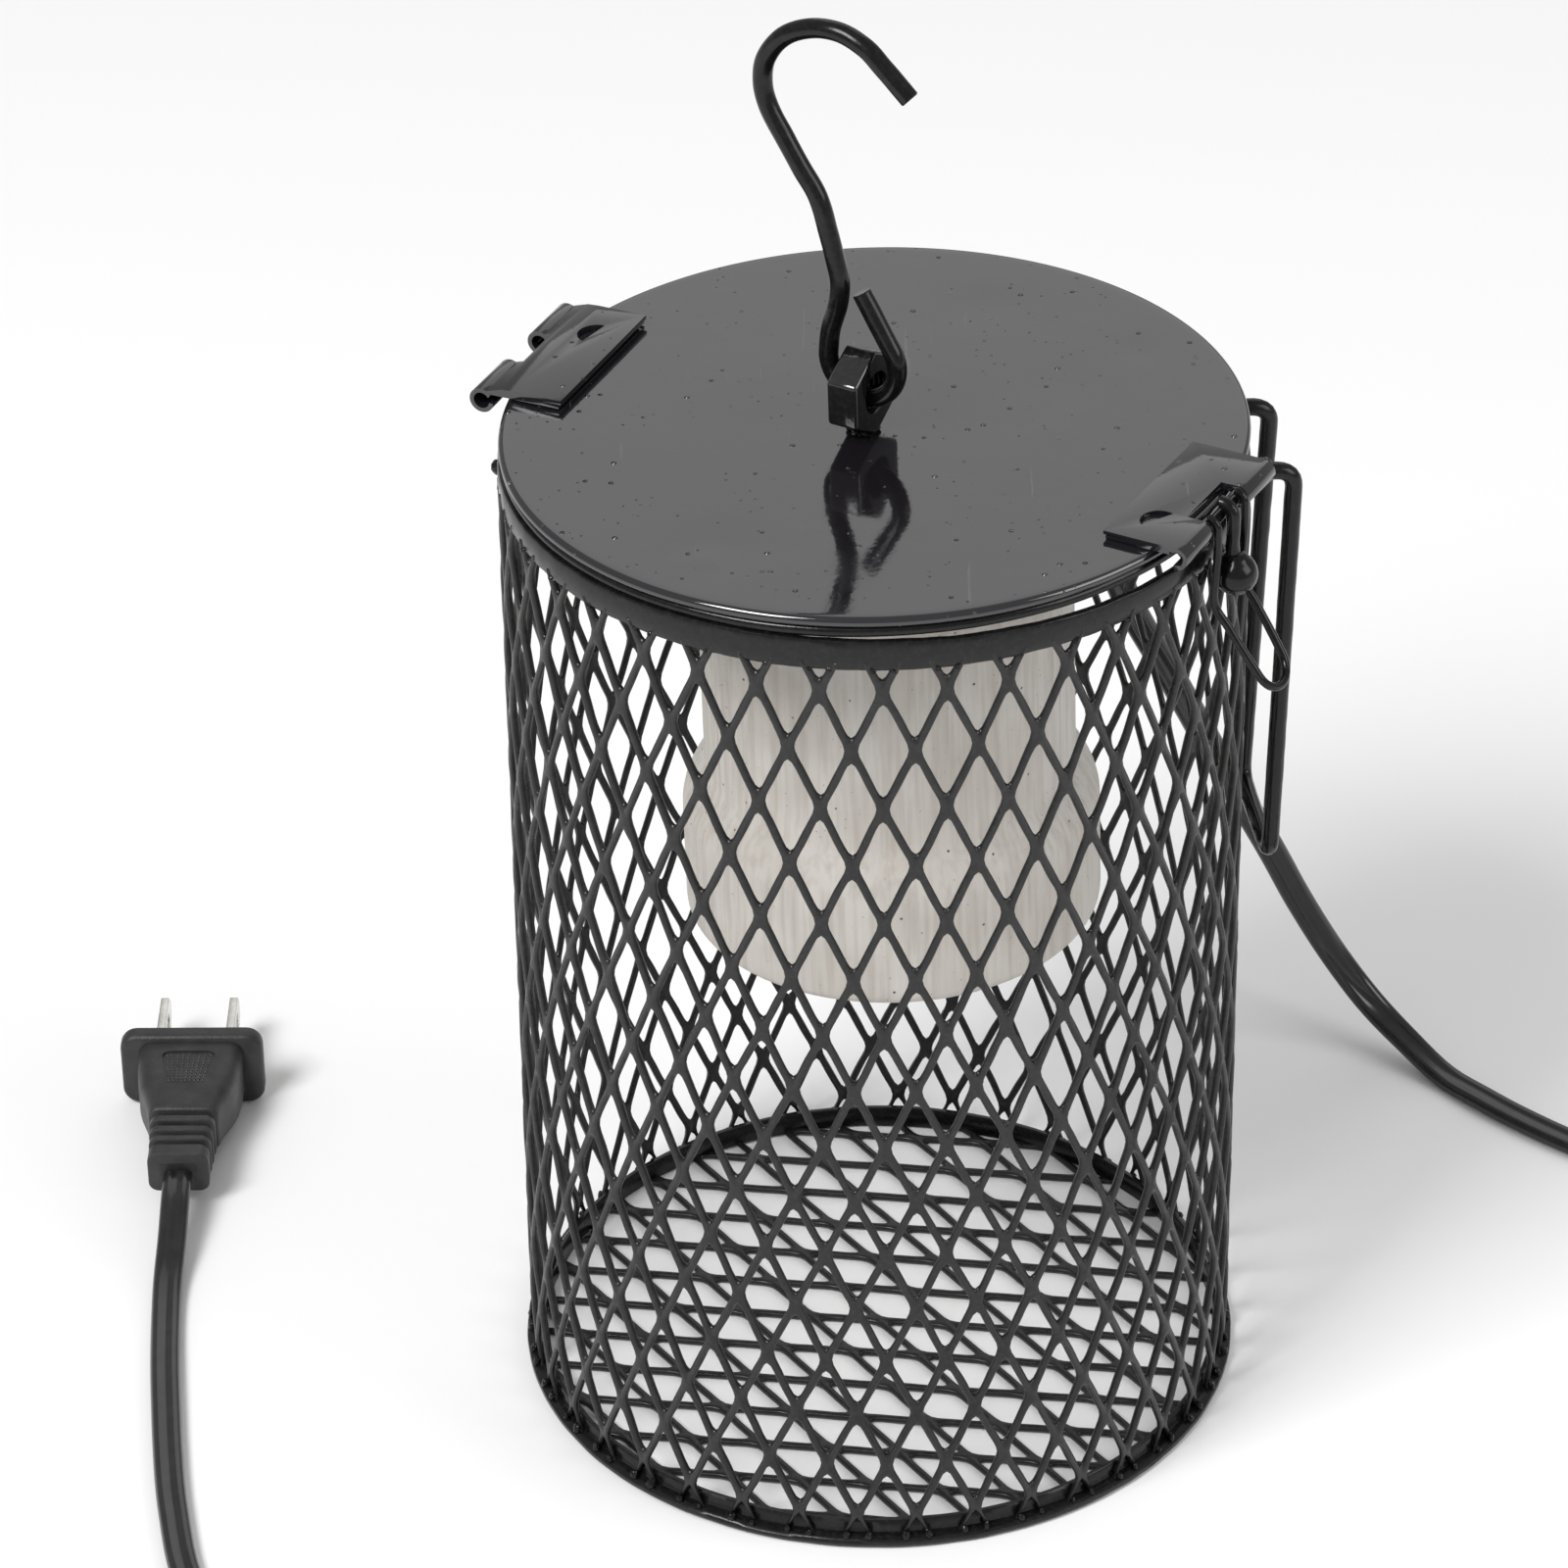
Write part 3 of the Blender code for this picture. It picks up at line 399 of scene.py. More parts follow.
class Graph:
    """Short calls for building one material's nodes on the object's own coordinates."""

    def __init__(self, material):
        self.nodes = material.node_tree.nodes
        self.links = material.node_tree.links
        self.shader = self.nodes["Principled BSDF"]
        self.coords = self.nodes.new("ShaderNodeTexCoord").outputs["Object"]

    def stretch(self, scale, rotation=(0, 0, 0)):
        node = self.nodes.new("ShaderNodeMapping")
        node.inputs["Scale"].default_value = scale
        node.inputs["Rotation"].default_value = rotation
        self.links.new(self.coords, node.inputs["Vector"])
        return node.outputs["Vector"]

    def noise(self, size, detail=3.0, rough=0.55, vector=None):
        node = self.nodes.new("ShaderNodeTexNoise")
        node.inputs["Scale"].default_value = 1 / size
        node.inputs["Detail"].default_value = detail
        node.inputs["Roughness"].default_value = rough
        self.links.new(vector or self.coords, node.inputs["Vector"])
        return node.outputs["Fac"]

    def cells(self, size):
        node = self.nodes.new("ShaderNodeTexVoronoi")
        node.inputs["Scale"].default_value = 1 / size
        self.links.new(self.coords, node.inputs["Vector"])
        return node.outputs["Distance"]

    def span(self, value, low, high, to_low=0.0, to_high=1.0):
        node = self.nodes.new("ShaderNodeMapRange")
        node.inputs["From Min"].default_value = low
        node.inputs["From Max"].default_value = high
        node.inputs["To Min"].default_value = to_low
        node.inputs["To Max"].default_value = to_high
        self.links.new(value, node.inputs["Value"])
        return node.outputs["Result"]

    def math(self, operation, first, second):
        node = self.nodes.new("ShaderNodeMath")
        node.operation = operation
        for slot, value in zip(node.inputs, (first, second)):
            if isinstance(value, (int, float)):
                slot.default_value = value
            else:
                self.links.new(value, slot)
        return node.outputs["Value"]

    def specks(self, size, edge, patch, detail, clusters, strength=1.0):
        """Dots in patches. edge is where a dot fades within its cell, clusters where a patch begins."""
        dots = self.span(self.cells(size), *edge, strength, 0.0)
        return self.math("MULTIPLY", dots, self.span(self.noise(patch, detail), *clusters))

    def mix(self, factor, first, second):
        node = self.nodes.new("ShaderNodeMix")
        node.data_type = "RGBA"
        self.links.new(factor, node.inputs["Factor"])
        for slot, value in ((node.inputs[6], first), (node.inputs[7], second)):
            if isinstance(value, tuple):
                slot.default_value = (*value, 1)
            else:
                self.links.new(value, slot)
        return node.outputs[2]

    def colour(self, value):
        self.links.new(value, self.shader.inputs["Base Color"])

    def roughness(self, value):
        self.links.new(value, self.shader.inputs["Roughness"])

    def bump(self, *layers):
        """Each layer is (height, distance)."""
        last = None
        for height, distance in layers:
            node = self.nodes.new("ShaderNodeBump")
            node.inputs["Distance"].default_value = distance
            self.links.new(height, node.inputs["Height"])
            if last:
                self.links.new(last, node.inputs["Normal"])
            last = node.outputs["Normal"]
        self.links.new(last, self.shader.inputs["Normal"])


def enamel(name, colour, low_rough, high_rough, ior, grain=0.03 * MM):
    """Dipped black enamel on wire and sheet: uneven gloss, runs and a few dull spots."""
    made = new_material(name, colour, low_rough, ior=ior)
    g = Graph(made)
    patches = g.noise(6 * MM, 4)
    fine = g.noise(0.9 * MM, 3)
    lighter = tuple(2.0 * c + 0.002 for c in colour)
    g.colour(g.mix(g.span(fine, 0.45, 0.75), colour, lighter))
    g.roughness(g.span(patches, 0.35, 0.7, low_rough, high_rough))
    g.bump((g.noise(2.4 * MM, 2), 2.5 * grain), (fine, grain))
    return made


def lid_enamel():
    """Poured gloss black: slight orange peel, dust under the paint, a few hair scratches and smears."""
    made = new_material("lid_enamel", (0.009, 0.008, 0.01), 0.1, ior=1.75)
    g = Graph(made)
    smear = g.noise(22 * MM, 4, 0.6)
    nibs = g.specks(4.2 * MM, (0.05, 0.12), 11 * MM, 1, (0.42, 0.52))
    fine_nibs = g.specks(1.9 * MM, (0.06, 0.13), 8 * MM, 2, (0.5, 0.6))
    dots = g.math("MAXIMUM", nibs, fine_nibs)
    lines = g.noise(1.1 * MM, 2, 0.5, g.stretch((1, 0.035, 1), (0, 0, 0.9)))
    scratch = g.math("MULTIPLY", g.span(lines, 0.7, 0.73), g.span(g.noise(16 * MM, 1), 0.5, 0.58))
    g.colour(g.mix(g.math("MAXIMUM", scratch, g.span(dots, 0.5, 1.0, 0.0, 0.35)),
                   (0.009, 0.008, 0.01), (0.06, 0.058, 0.055)))
    g.roughness(g.math("ADD", g.span(smear, 0.35, 0.7, 0.05, 0.13), g.math("MULTIPLY", scratch, 0.3)))
    g.bump((g.noise(3.2 * MM, 2), 0.012 * MM), (g.noise(0.8 * MM, 2), 0.004 * MM), (dots, 0.3 * MM))
    return made


def bare_porcelain():
    """Unglazed off-white porcelain with pressed ribs, iron specks and faint stains."""
    made = new_material("porcelain", (0.6, 0.56, 0.51), 0.5, ior=1.5)
    g = Graph(made)
    cloud = g.noise(16 * MM, 4)
    streak = g.noise(1.3 * MM, 2, 0.5, g.stretch((1, 1, 0.06)))
    base = g.mix(g.span(cloud, 0.35, 0.7), (0.69, 0.655, 0.615), (0.6, 0.56, 0.505))
    base = g.mix(g.span(streak, 0.42, 0.72, 0.0, 0.55), base, (0.45, 0.405, 0.355))
    big = g.specks(3.4 * MM, (0.05, 0.085), 7 * MM, 1, (0.45, 0.55))
    small = g.specks(1.5 * MM, (0.05, 0.1), 4 * MM, 1, (0.45, 0.6), 0.75)
    g.colour(g.mix(g.math("MAXIMUM", big, small), base, (0.085, 0.06, 0.042)))
    g.roughness(g.span(cloud, 0.3, 0.7, 0.42, 0.62))
    g.bump((streak, 0.05 * MM), (g.noise(0.35 * MM, 3), 0.02 * MM), (big, 0.03 * MM))
    return made


def pvc(name, colour, low_rough, high_rough, grain):
    made = new_material(name, colour, low_rough, ior=1.54)
    g = Graph(made)
    pebble = g.noise(0.42 * MM, 2, 0.5)
    g.colour(g.mix(g.span(g.noise(3 * MM, 3), 0.3, 0.8), colour, tuple(1.9 * c + 0.002 for c in colour)))
    g.roughness(g.span(g.noise(5 * MM, 3), 0.3, 0.75, low_rough, high_rough))
    g.bump((pebble, grain))
    return made


def metal(name, colour, low_rough, high_rough, grain, along=(1, 1, 1)):
    made = new_material(name, colour, low_rough, metallic=1.0)
    g = Graph(made)
    brushed = g.noise(0.5 * MM, 3, 0.6, g.stretch(along))
    g.colour(g.mix(g.span(g.noise(4 * MM, 4), 0.35, 0.75), colour, tuple(0.72 * c for c in colour)))
    g.roughness(g.span(brushed, 0.3, 0.75, low_rough, high_rough))
    g.bump((brushed, grain))
    return made


LID_PAINT = lid_enamel()
NUT_PAINT = enamel("nut_enamel", (0.006, 0.006, 0.0062), 0.06, 0.16, 1.7, 0.012 * MM)
MESH_PAINT = enamel("mesh_enamel", (0.009, 0.009, 0.009), 0.26, 0.44, 1.46)
WIRE_PAINT = enamel("wire_enamel", (0.004, 0.004, 0.0042), 0.14, 0.28, 1.36, 0.014 * MM)
SHEET_PAINT = enamel("sheet_enamel", (0.005, 0.005, 0.0052), 0.18, 0.34, 1.38, 0.02 * MM)
PORCELAIN = bare_porcelain()
BRASS = metal("brass", (0.76, 0.56, 0.27), 0.22, 0.42, 0.01 * MM)
ZINC = metal("zinc_steel", (0.6, 0.61, 0.62), 0.3, 0.5, 0.015 * MM)
NICKEL = metal("nickel", (0.74, 0.72, 0.68), 0.16, 0.38, 0.02 * MM, (6, 1, 1))
CORD_PVC = pvc("cord_pvc", (0.0085, 0.0085, 0.009), 0.13, 0.24, 0.004 * MM)
PLUG_PVC = pvc("plug_pvc", (0.0135, 0.0135, 0.014), 0.42, 0.6, 0.07 * MM)
TIE_VINYL = pvc("tie_vinyl", (0.018, 0.018, 0.019), 0.45, 0.6, 0.02 * MM)


# ---- expanded metal ----
def net_sheet(name, cells, half_w, half_h, place, keep=None, trim=()):
    """One sheet of expanded metal. cells are centres in its own (u, v), and place(u, v, lift) bends it."""
    bm = bmesh.new()
    steps = 4
    pinch, twist = 0.18 * MM, 0.34 * MM
    shake, ripple = 0.22 * MM, 0.16 * MM
    corners = [(half_w, 0), (0, half_h), (-half_w, 0), (0, -half_h)]
    reach = half_w * half_h / hypot(half_w, half_h)
    scale = (reach - STRAND) / reach
    outer, inner = [], []
    for (x0, y0), (x1, y1) in zip(corners, corners[1:] + corners[:1]):
        for i in range(steps):
            t = i / steps
            x, y = x0 + (x1 - x0) * t, y0 + (y1 - y0) * t
            outer.append((x, y))
            tip = abs(y) / half_h
            inner.append((x * scale + pinch * sign(x) * smoothstep(0.4, 1, tip), y * (scale + 0.02 * tip)))
    lift_layer = bm.verts.layers.float.new("lift")
    for cu, cv in cells:
        if keep and not keep(cu, cv):
            continue
        rim = [bm.verts.new((cu + x, cv + y, 0)) for x, y in outer]
        hole = [bm.verts.new((cu + x, cv + y, 0)) for x, y in inner]
        for vert, (x, y) in zip(hole, inner):
            vert[lift_layer] = twist * sign(y) * smoothstep(0, 0.3, abs(y) / half_h)
        bridge(bm, rim, hole)
    bmesh.ops.remove_doubles(bm, verts=bm.verts, dist=0.05 * MM)
    for height, side in trim:
        bmesh.ops.bisect_plane(bm, geom=bm.verts[:] + bm.edges[:] + bm.faces[:], plane_co=(0, height, 0),
                               plane_no=(0, side, 0), clear_outer=True)
    for vert in bm.verts:
        u, v, _ = vert.co
        spot = place(u, v, 0)
        u += shake * wobble(spot, 7 * MM, 1.3)
        v += shake * wobble(spot, 7 * MM, 4.1)
        vert.co = place(u, v, vert[lift_layer] + ripple * wobble(spot, 3 * MM, 7.7))
    return stored(name, bm)


def wall_place(u, v, lift):
    angle = u / WALL_R
    return Vector((cos(angle), sin(angle), 0)) * (WALL_R + lift) + Vector((0, 0, v))


def wall():
    half_w = pi * WALL_R / COLUMNS
    start = TOP_NODE_AZ * WALL_R
    cells = []
    for row in range(-1, 16):
        for column in range(COLUMNS):
            # a cell's middle is level with the bonds on either side of it
            shift = 0.5 if row % 2 == 0 else 0.0
            cells.append((start + 2 * half_w * (column + shift), TOP_NODE_Z - row * HALF_ROW))
    mesh = net_sheet("wall_mesh_full", cells, half_w, HALF_ROW, wall_place,
                     trim=((NET_TOP, 1), (NET_LOW, -1)))
    bm = bmesh.new()
    bm.from_mesh(mesh)
    bmesh.ops.remove_doubles(bm, verts=bm.verts, dist=0.1 * MM)
    mesh = to_mesh("wall_mesh_full", bm)
    mesh = applied(mesh, ("SOLIDIFY", {"thickness": WALL_T, "offset": 0.0}), ("SUBSURF", {"levels": 1}))
    piece("wall_mesh_full", mesh, MESH_PAINT, "cage", ["wall_mesh"], angle=60)


def floor_place(u, v, lift):
    cross, along = sin(FLOOR_NET_AZ), cos(FLOOR_NET_AZ)
    return Vector((v * along - u * cross, v * cross + u * along, 0.75 * MM + 0.5 * lift))


def floor_net():
    half_w = pi * WALL_R / COLUMNS
    reach = 58.6 * MM
    cells = []
    for row in range(-7, 8):
        for column in range(-8, 9):
            cells.append((2 * half_w * (column + 0.5 * (row % 2)) + half_w, row * HALF_ROW))
    mesh = net_sheet("bottom_mesh_full", cells, half_w, HALF_ROW, floor_place,
                     keep=lambda u, v: hypot(u, v) < reach + HALF_ROW)
    bm = bmesh.new()
    bm.from_mesh(mesh)
    outside = [f for f in bm.faces if hypot(f.calc_center_median().x, f.calc_center_median().y) > reach]
    bmesh.ops.delete(bm, geom=outside, context="FACES")
    for vert in bm.verts:
        far = hypot(vert.co.x, vert.co.y)
        if far > reach:
            vert.co.x *= reach / far
            vert.co.y *= reach / far
    mesh = to_mesh("bottom_mesh_full", bm)
    mesh = applied(mesh, ("SOLIDIFY", {"thickness": 1.1 * MM, "offset": 0.0}), ("SUBSURF", {"levels": 1}))
    piece("bottom_mesh_full", mesh, MESH_PAINT, "cage", ["bottom_mesh"], angle=60)


# ---- the cage's rings and wires ----
def uneven(size, amount, seed):
    """A shift for lathe() that makes a turned ring look hand formed and dipped."""
    def shift(radius, height, angle):
        place = (radius * cos(angle), radius * sin(angle), height)
        return (radius + amount * wobble(place, size, seed), height + amount * wobble(place, size, seed + 9))
    return shift


def rings():
    base = in_mm([(59.0, 0.3), (59.4, 0.05), (60.5, 0.05), (61.05, 0.3), (61.35, 0.85), (61.25, 1.4),
                  (60.8, 1.75), (59.9, 1.9), (59.3, 2.1), (59.15, 2.5), (59.15, 4.1), (58.9, 4.4),
                  (58.3, 4.4), (58.1, 4.1), (58.1, 0.5)])
    mesh = lathe("bottom_ring_full", base[::-1], 220, shift=uneven(5 * MM, 0.12 * MM, 3))
    piece("bottom_ring_full", mesh, SHEET_PAINT, "cage", ["bottom_ring"])
    band = in_mm([(60.2, 173.0), (60.4, 173.4), (60.4, 176.0), (60.2, 176.35), (59.7, 176.5),
                  (59.2, 176.35), (59.0, 176.0), (59.0, 173.2), (59.2, 172.7), (59.8, 172.7)])
    hammered = uneven(3 * MM, 0.12 * MM, 8)
    climb = 1.8 * MM

    def rising(radius, height, angle):
        """The band's top edge climbs a little at the front."""
        r, z = hammered(radius, height, angle)
        front = (0.5 + 0.5 * cos(angle + radians(102))) ** 3
        return r, z + climb * smoothstep(174 * MM, 176 * MM, height) * front
    mesh = lathe("top_band_full", band, 260, shift=rising)
    piece("top_band_full", mesh, SHEET_PAINT, "cage", ["top_band"])
    feet = [polar(TOP_NODE_AZ + 2 * pi * (i + k) / COLUMNS, 60.5 * MM, 0, 2.2 * MM)
            for i in range(COLUMNS) for k in (0.31, 0.69)]
    piece("foot_welds", blobs("foot_welds", feet, 0.66 * MM, 5, 1.4), WIRE_PAINT, "cage")
    tops = [polar(TOP_NODE_AZ + 2 * pi * (i + k) / COLUMNS, 60.0 * MM, 0, 172.9 * MM)
            for i in range(COLUMNS) for k in (-0.17, 0.17)]
    piece("band_welds", blobs("band_welds", tops, 0.62 * MM, 6), WIRE_PAINT, "cage")


def side_hanger():
    back_top, back_low = 7 * MM, 12 * MM
    front_top, front_low = -13.5 * MM, -12 * MM
    top, low = 175.2 * MM, 100.5 * MM
    weld = 60.5 * MM
    low_n = HANGER_N - 1.8 * MM
    legs = [(weld + 0.4 * MM, back_top, top), (HANGER_N, back_top, top), (low_n, back_low, low),
            (low_n, front_low, low), (HANGER_N, front_top, top), (weld + 1.0 * MM, front_top, top)]
    bent = filleted([polar(HANGER_AZ, n, t, z) for n, t, z in legs], 3.4 * MM)
    mesh = rod("side_hanger_full", bent, HANGER_R, rough=0.05, seed=2)
    piece("side_hanger_full", mesh, WIRE_PAINT, "cage", ["side_hanger"])
    welds = [polar(HANGER_AZ, weld + 0.5 * MM, t + s, top + h) for t in (back_top, front_top)
             for s, h in ((-1.1 * MM, 0.3 * MM), (1.0 * MM, -0.5 * MM), (0.1 * MM, 1.0 * MM))]
    welds.append(polar(radians(176), 60.6 * MM, 0, 171.5 * MM))
    piece("hanger_welds", blobs("hanger_welds", welds, 1.25 * MM, 9), WIRE_PAINT, "cage")


# ---- lid ----
# x, y, depth and radius of each dent or rise in the lid, in millimetres
DENTS = [(-24, -38, -0.16, 7), (-26, -41, 0.10, 3), (18, 38, -0.10, 6), (30, 12, -0.07, 9),
         (21, -12, 0.05, 8), (-12, 20, 0.06, 12), (43, 22, -0.08, 5), (-40, -6, 0.06, 10),
         (6, -34, 0.05, 12)]


def lid_height(x, y):
    """How far the lid's sheet stands off flat at a place."""
    rise = 0.05 * MM * wobble((x, y, 0), 24 * MM, 2) + 0.012 * MM * wobble((x, y, 0), 7 * MM, 6)
    for cx, cy, depth, size in DENTS:
        rise += depth * MM * exp(-((x / MM - cx) ** 2 + (y / MM - cy) ** 2) / (size * size))
    return rise


def lid_disc():
    profile = [(0, LID_TOP)]
    profile += [(r * 1.2 * MM, LID_TOP) for r in range(1, 49)]
    edge = [(58.6, 0)] + [(r, -z) for r, z in arc((59.28, -0.94), 0.92, 90, -160, 20)]
    edge += [(58.1, 0.8), (40, 0.8), (0, 0.8)]
    profile += [(r * MM, LID_TOP - drop * MM) for r, drop in edge]

    def shift(radius, height, angle):
        fade = 1 - smoothstep(58 * MM, 59.9 * MM, radius)
        return radius, height + fade * lid_height(radius * cos(angle), radius * sin(angle))
    mesh = lathe("lid_disc_full", profile, 300, shift=shift)
    piece("lid_disc_full", mesh, LID_PAINT, "lid", ["lid_disc"], TILT)
    low = LID_TOP - 2.78 * MM
    bead = arc((58.85 * MM, low), 1.02 * MM, 0, -345, 23)
    mesh = lathe("lid_bead_full", bead, 300, shift=uneven(14 * MM, 0.1 * MM, 5))
    piece("lid_bead_full", mesh, WIRE_PAINT, "lid", ["lid_bead"], TILT)


def leaf_slot(azimuth, n, t, radius, turn):
    """Half-moon tool for the slot that is punched in a bracket's upper leaf."""
    outline = [(x, y) for x, y in arc((0, 0), radius, 8, 172, 14)]
    place = Matrix.Translation(polar(azimuth, n, t, 0)) @ Matrix.Rotation(turn, 4, "Z")
    return slab("leaf_slot", outline, KNUCKLE_Z + 0.3 * MM, KNUCKLE_Z + 4 * MM, place)


def notch_tool(azimuth, width, inner):
    outline = [(inner, KNUCKLE_Z - 6 * MM), (inner + 12 * MM, KNUCKLE_Z - 6 * MM),
               (inner + 12 * MM, KNUCKLE_Z + 6 * MM), (inner, KNUCKLE_Z + 6 * MM)]
    return prism("notch", outline, -width / 2, width / 2, azimuth)


def leaf_edge(inner, low, top):
    """The inner edge of a double leaf: two sheets with a slit between them."""
    middle = KNUCKLE_Z + 0.5 * (low + top)
    return [(inner + 5 * MM, middle - 0.05 * MM), (inner + 0.4 * MM, middle - 0.12 * MM),
            (inner + 0.4 * MM, KNUCKLE_Z + low)], [(inner, KNUCKLE_Z + top), (inner, middle + 0.05 * MM)]


def hook_bracket():
    outer, inner = 2.15 * MM, 1.4 * MM
    top, low = 1.6 * MM, 0.1 * MM
    centre = (KNUCKLE_N + ROLL_OUT, KNUCKLE_Z - ROLL_DROP)
    under = 180 - degrees(asin((low + ROLL_DROP) / outer))
    lower, upper = leaf_edge(LEAF_IN, low, top)
    outline = upper[::-1]
    outline += [(LID_R - 3 * MM, KNUCKLE_Z + top), (LID_R - 1.2 * MM, KNUCKLE_Z + top - 0.12 * MM)]
    outline += arc(centre, outer, 118, -172, 36)
    outline += arc(centre, inner, -172, 152, 36)
    outline += arc(centre, outer, under + 3, under, 1)
    outline += lower[::-1]
    mesh = prism("hook_bracket_full", outline, -LEAF_L / 2, LEAF_L / 2, HOOK_AZ)
    mesh = subtract(mesh, notch_tool(HOOK_AZ, 10 * MM, LID_R + 0.2 * MM),
                    leaf_slot(HOOK_AZ, 53.1 * MM, -6.7 * MM, 3.1 * MM, HOOK_AZ - radians(100)))
    mesh = bevelled(mesh, LEAF_BEVEL)
    piece("hook_bracket_full", mesh, LID_PAINT, "lid", ["hook_bracket"], TILT)


def latch_bracket():
    top, low = 1.2 * MM, -0.12 * MM
    lip_z, lip_n = KNUCKLE_Z - 2.6 * MM, PIN_N - 0.4 * MM
    top_z, low_z = KNUCKLE_Z + top - FOLD_R, lip_z + FOLD_R
    lower, upper = leaf_edge(LATCH_IN, low, top)
    outline = upper[::-1]
    outline += arc((PIN_N, top_z), FOLD_R, 90, 4, 10)
    outline += arc((PIN_N, low_z), FOLD_R, -4, -90, 10)
    outline += [(lip_n, lip_z), (lip_n, lip_z + SHEET)]
    outline += arc((PIN_N, low_z), FOLD_R - SHEET, -90, -4, 7)
    outline += arc((PIN_N, top_z), FOLD_R - SHEET, 4, 90, 7)
    outline += [(LID_R + 0.6 * MM, KNUCKLE_Z + top - SHEET), (LID_R + 0.6 * MM, KNUCKLE_Z + low)]
    outline += lower[::-1]
    mesh = prism("latch_bracket_full", outline, -LEAF_L / 2, LEAF_L / 2, LATCH_AZ)
    mesh = subtract(mesh, notch_tool(LATCH_AZ, 12 * MM, 59.0 * MM),
                    leaf_slot(LATCH_AZ, 55.6 * MM, -8.9 * MM, 3.0 * MM, LATCH_AZ + radians(60)))
    mesh = bevelled(mesh, LEAF_BEVEL)
    piece("latch_bracket_full", mesh, LID_PAINT, "lid", ["latch_bracket"], TILT)
    ends = [polar(LATCH_AZ, PIN_N, t, PIN_Z) for t in (-13.5 * MM, -6 * MM, 6 * MM, 13.5 * MM)]
    piece("latch_pin_full", rod("latch_pin_full", ends, PIN_R, rough=0.06), WIRE_PAINT, "lid", ["latch_pin"],
          TILT)


def hanger_nut():
    """Hexagon nut on one corner, chamfered, with a threaded hole and beads of weld at its foot."""
    corner = NUT_FLATS / sqrt(3)
    turn = Matrix.Translation(NUT_AT) @ Matrix.Rotation(EYE_AZ, 4, "Z") @ Matrix.Rotation(pi / 2, 4, "Y")
    flats = [(corner * cos(radians(60 * i)), corner * sin(radians(60 * i))) for i in range(6)]
    body = bevelled(slab("nut", flats, -NUT_T / 2, NUT_T / 2, turn), 0.55 * MM, 3, 50)
    bm = bmesh.new()
    threads, turns, steps = [], 7, 28
    around = [2 * pi * k / steps for k in range(steps)]
    for i in range(turns * 2 + 1):
        radius = NUT_HOLE + (0.28 * MM if i % 2 else 0)
        height = -NUT_T / 2 - 0.5 * MM + (NUT_T + 1.0 * MM) * i / (turns * 2)
        ring = [Vector((radius * cos(a), radius * sin(a), height)) for a in around]
        threads.append([bm.verts.new(turn @ place) for place in ring])
    for first, second in zip(threads, threads[1:]):
        bridge(bm, first, second)
    bm.faces.new(list(reversed(threads[0])))
    bm.faces.new(threads[-1])
    mesh = bevelled(subtract(body, to_mesh("thread", bm)), 0.06 * MM, 1, 60)
    piece("hanger_nut_full", mesh, NUT_PAINT, "lid", ["hanger_nut"], TILT)
    spread = 1.3 * MM
    foot = [NUT_AT + Vector((spread * cos(a), spread * sin(a), -7.3 * MM)) for a in (0.2, 1.4, 2.7, 4.0, 5.2)]
    weld = blobs("nut_weld", foot, 1.5 * MM, 12, 0.55)
    piece("nut_weld", weld, WIRE_PAINT, "lid", matrix=TILT)


def s_hook():
    eye = (0.2 * MM, 6.3 * MM)
    path = in_mm([(0.1, 18.8), (1.9, 15.8), (3.7, 12.8)]) + arc(eye, 6.3 * MM, 30, -90, 12)[:-1]
    path += arc(eye, 6.3 * MM, -90, -178, 9)
    path += in_mm([(-5.6, 10.6), (-4.2, 15.4), (-3.8, 19.6), (-4.6, 23.4), (-5.8, 28), (-7.6, 33.8),
                   (-10.4, 38), (-13.6, 43), (-16.2, 47.4), (-17.3, 51.6), (-16.6, 56), (-13.4, 60.4),
                   (-8.6, 63), (-3.4, 63.6), (1.2, 62), (4.6, 59.2), (9.2, 55)])
    mesh = rod("s_hook_full", [(x, 0, z) for x, z in path], S_WIRE, sides=24, rough=0.03, lip=0.12, seed=4)
    place = TILT @ Matrix.Translation(NUT_AT - Vector((0, 0, EYE_DROP))) @ Matrix.Rotation(EYE_AZ, 4, "Z")
    place = place @ Matrix.Rotation(HOOK_LEAN, 4, "Y")
    piece("s_hook_full", mesh, WIRE_PAINT, "s_hook", ["s_hook"], place)


def ball_arm():
    bend = PIN_R + 1.35 * MM
    ball = polar(LATCH_AZ, BALL_N, 0, PIN_Z - BALL_DROP)
    low = PIN_Z - BALL_DROP + 2.4 * MM
    knots = arc((PIN_N, PIN_Z), bend, 100, 0, 8)
    knots += [(PIN_N + bend, PIN_Z - 2.5 * MM), (BALL_N - 0.6 * MM, PIN_Z - 5 * MM), (BALL_N - 0.4 * MM, low)]
    path = [polar(LATCH_AZ, n, 0, z) for n, z in knots]
    stem = rod("ball_stem_full", path, 1.12 * MM, rough=0.16, lip=0.5, seed=7, spacing=0.5 * MM)
    piece("ball_stem_full", stem, WIRE_PAINT, "ball_arm", ["ball_stem"], TILT)
    bm = bmesh.new()
    bmesh.ops.create_uvsphere(bm, u_segments=48, v_segments=32, radius=BALL_R)
    for vert in bm.verts:
        neck = smoothstep(2.6 * MM, 3.5 * MM, vert.co.z)
        vert.co *= 1 + 0.008 * wobble(vert.co, 3 * MM, 3) + 0.1 * neck
        vert.co += ball
    knob = to_mesh("ball_knob_full", bm)
    piece("ball_knob_full", knob, WIRE_PAINT, "ball_arm", ["ball_knob"], TILT)


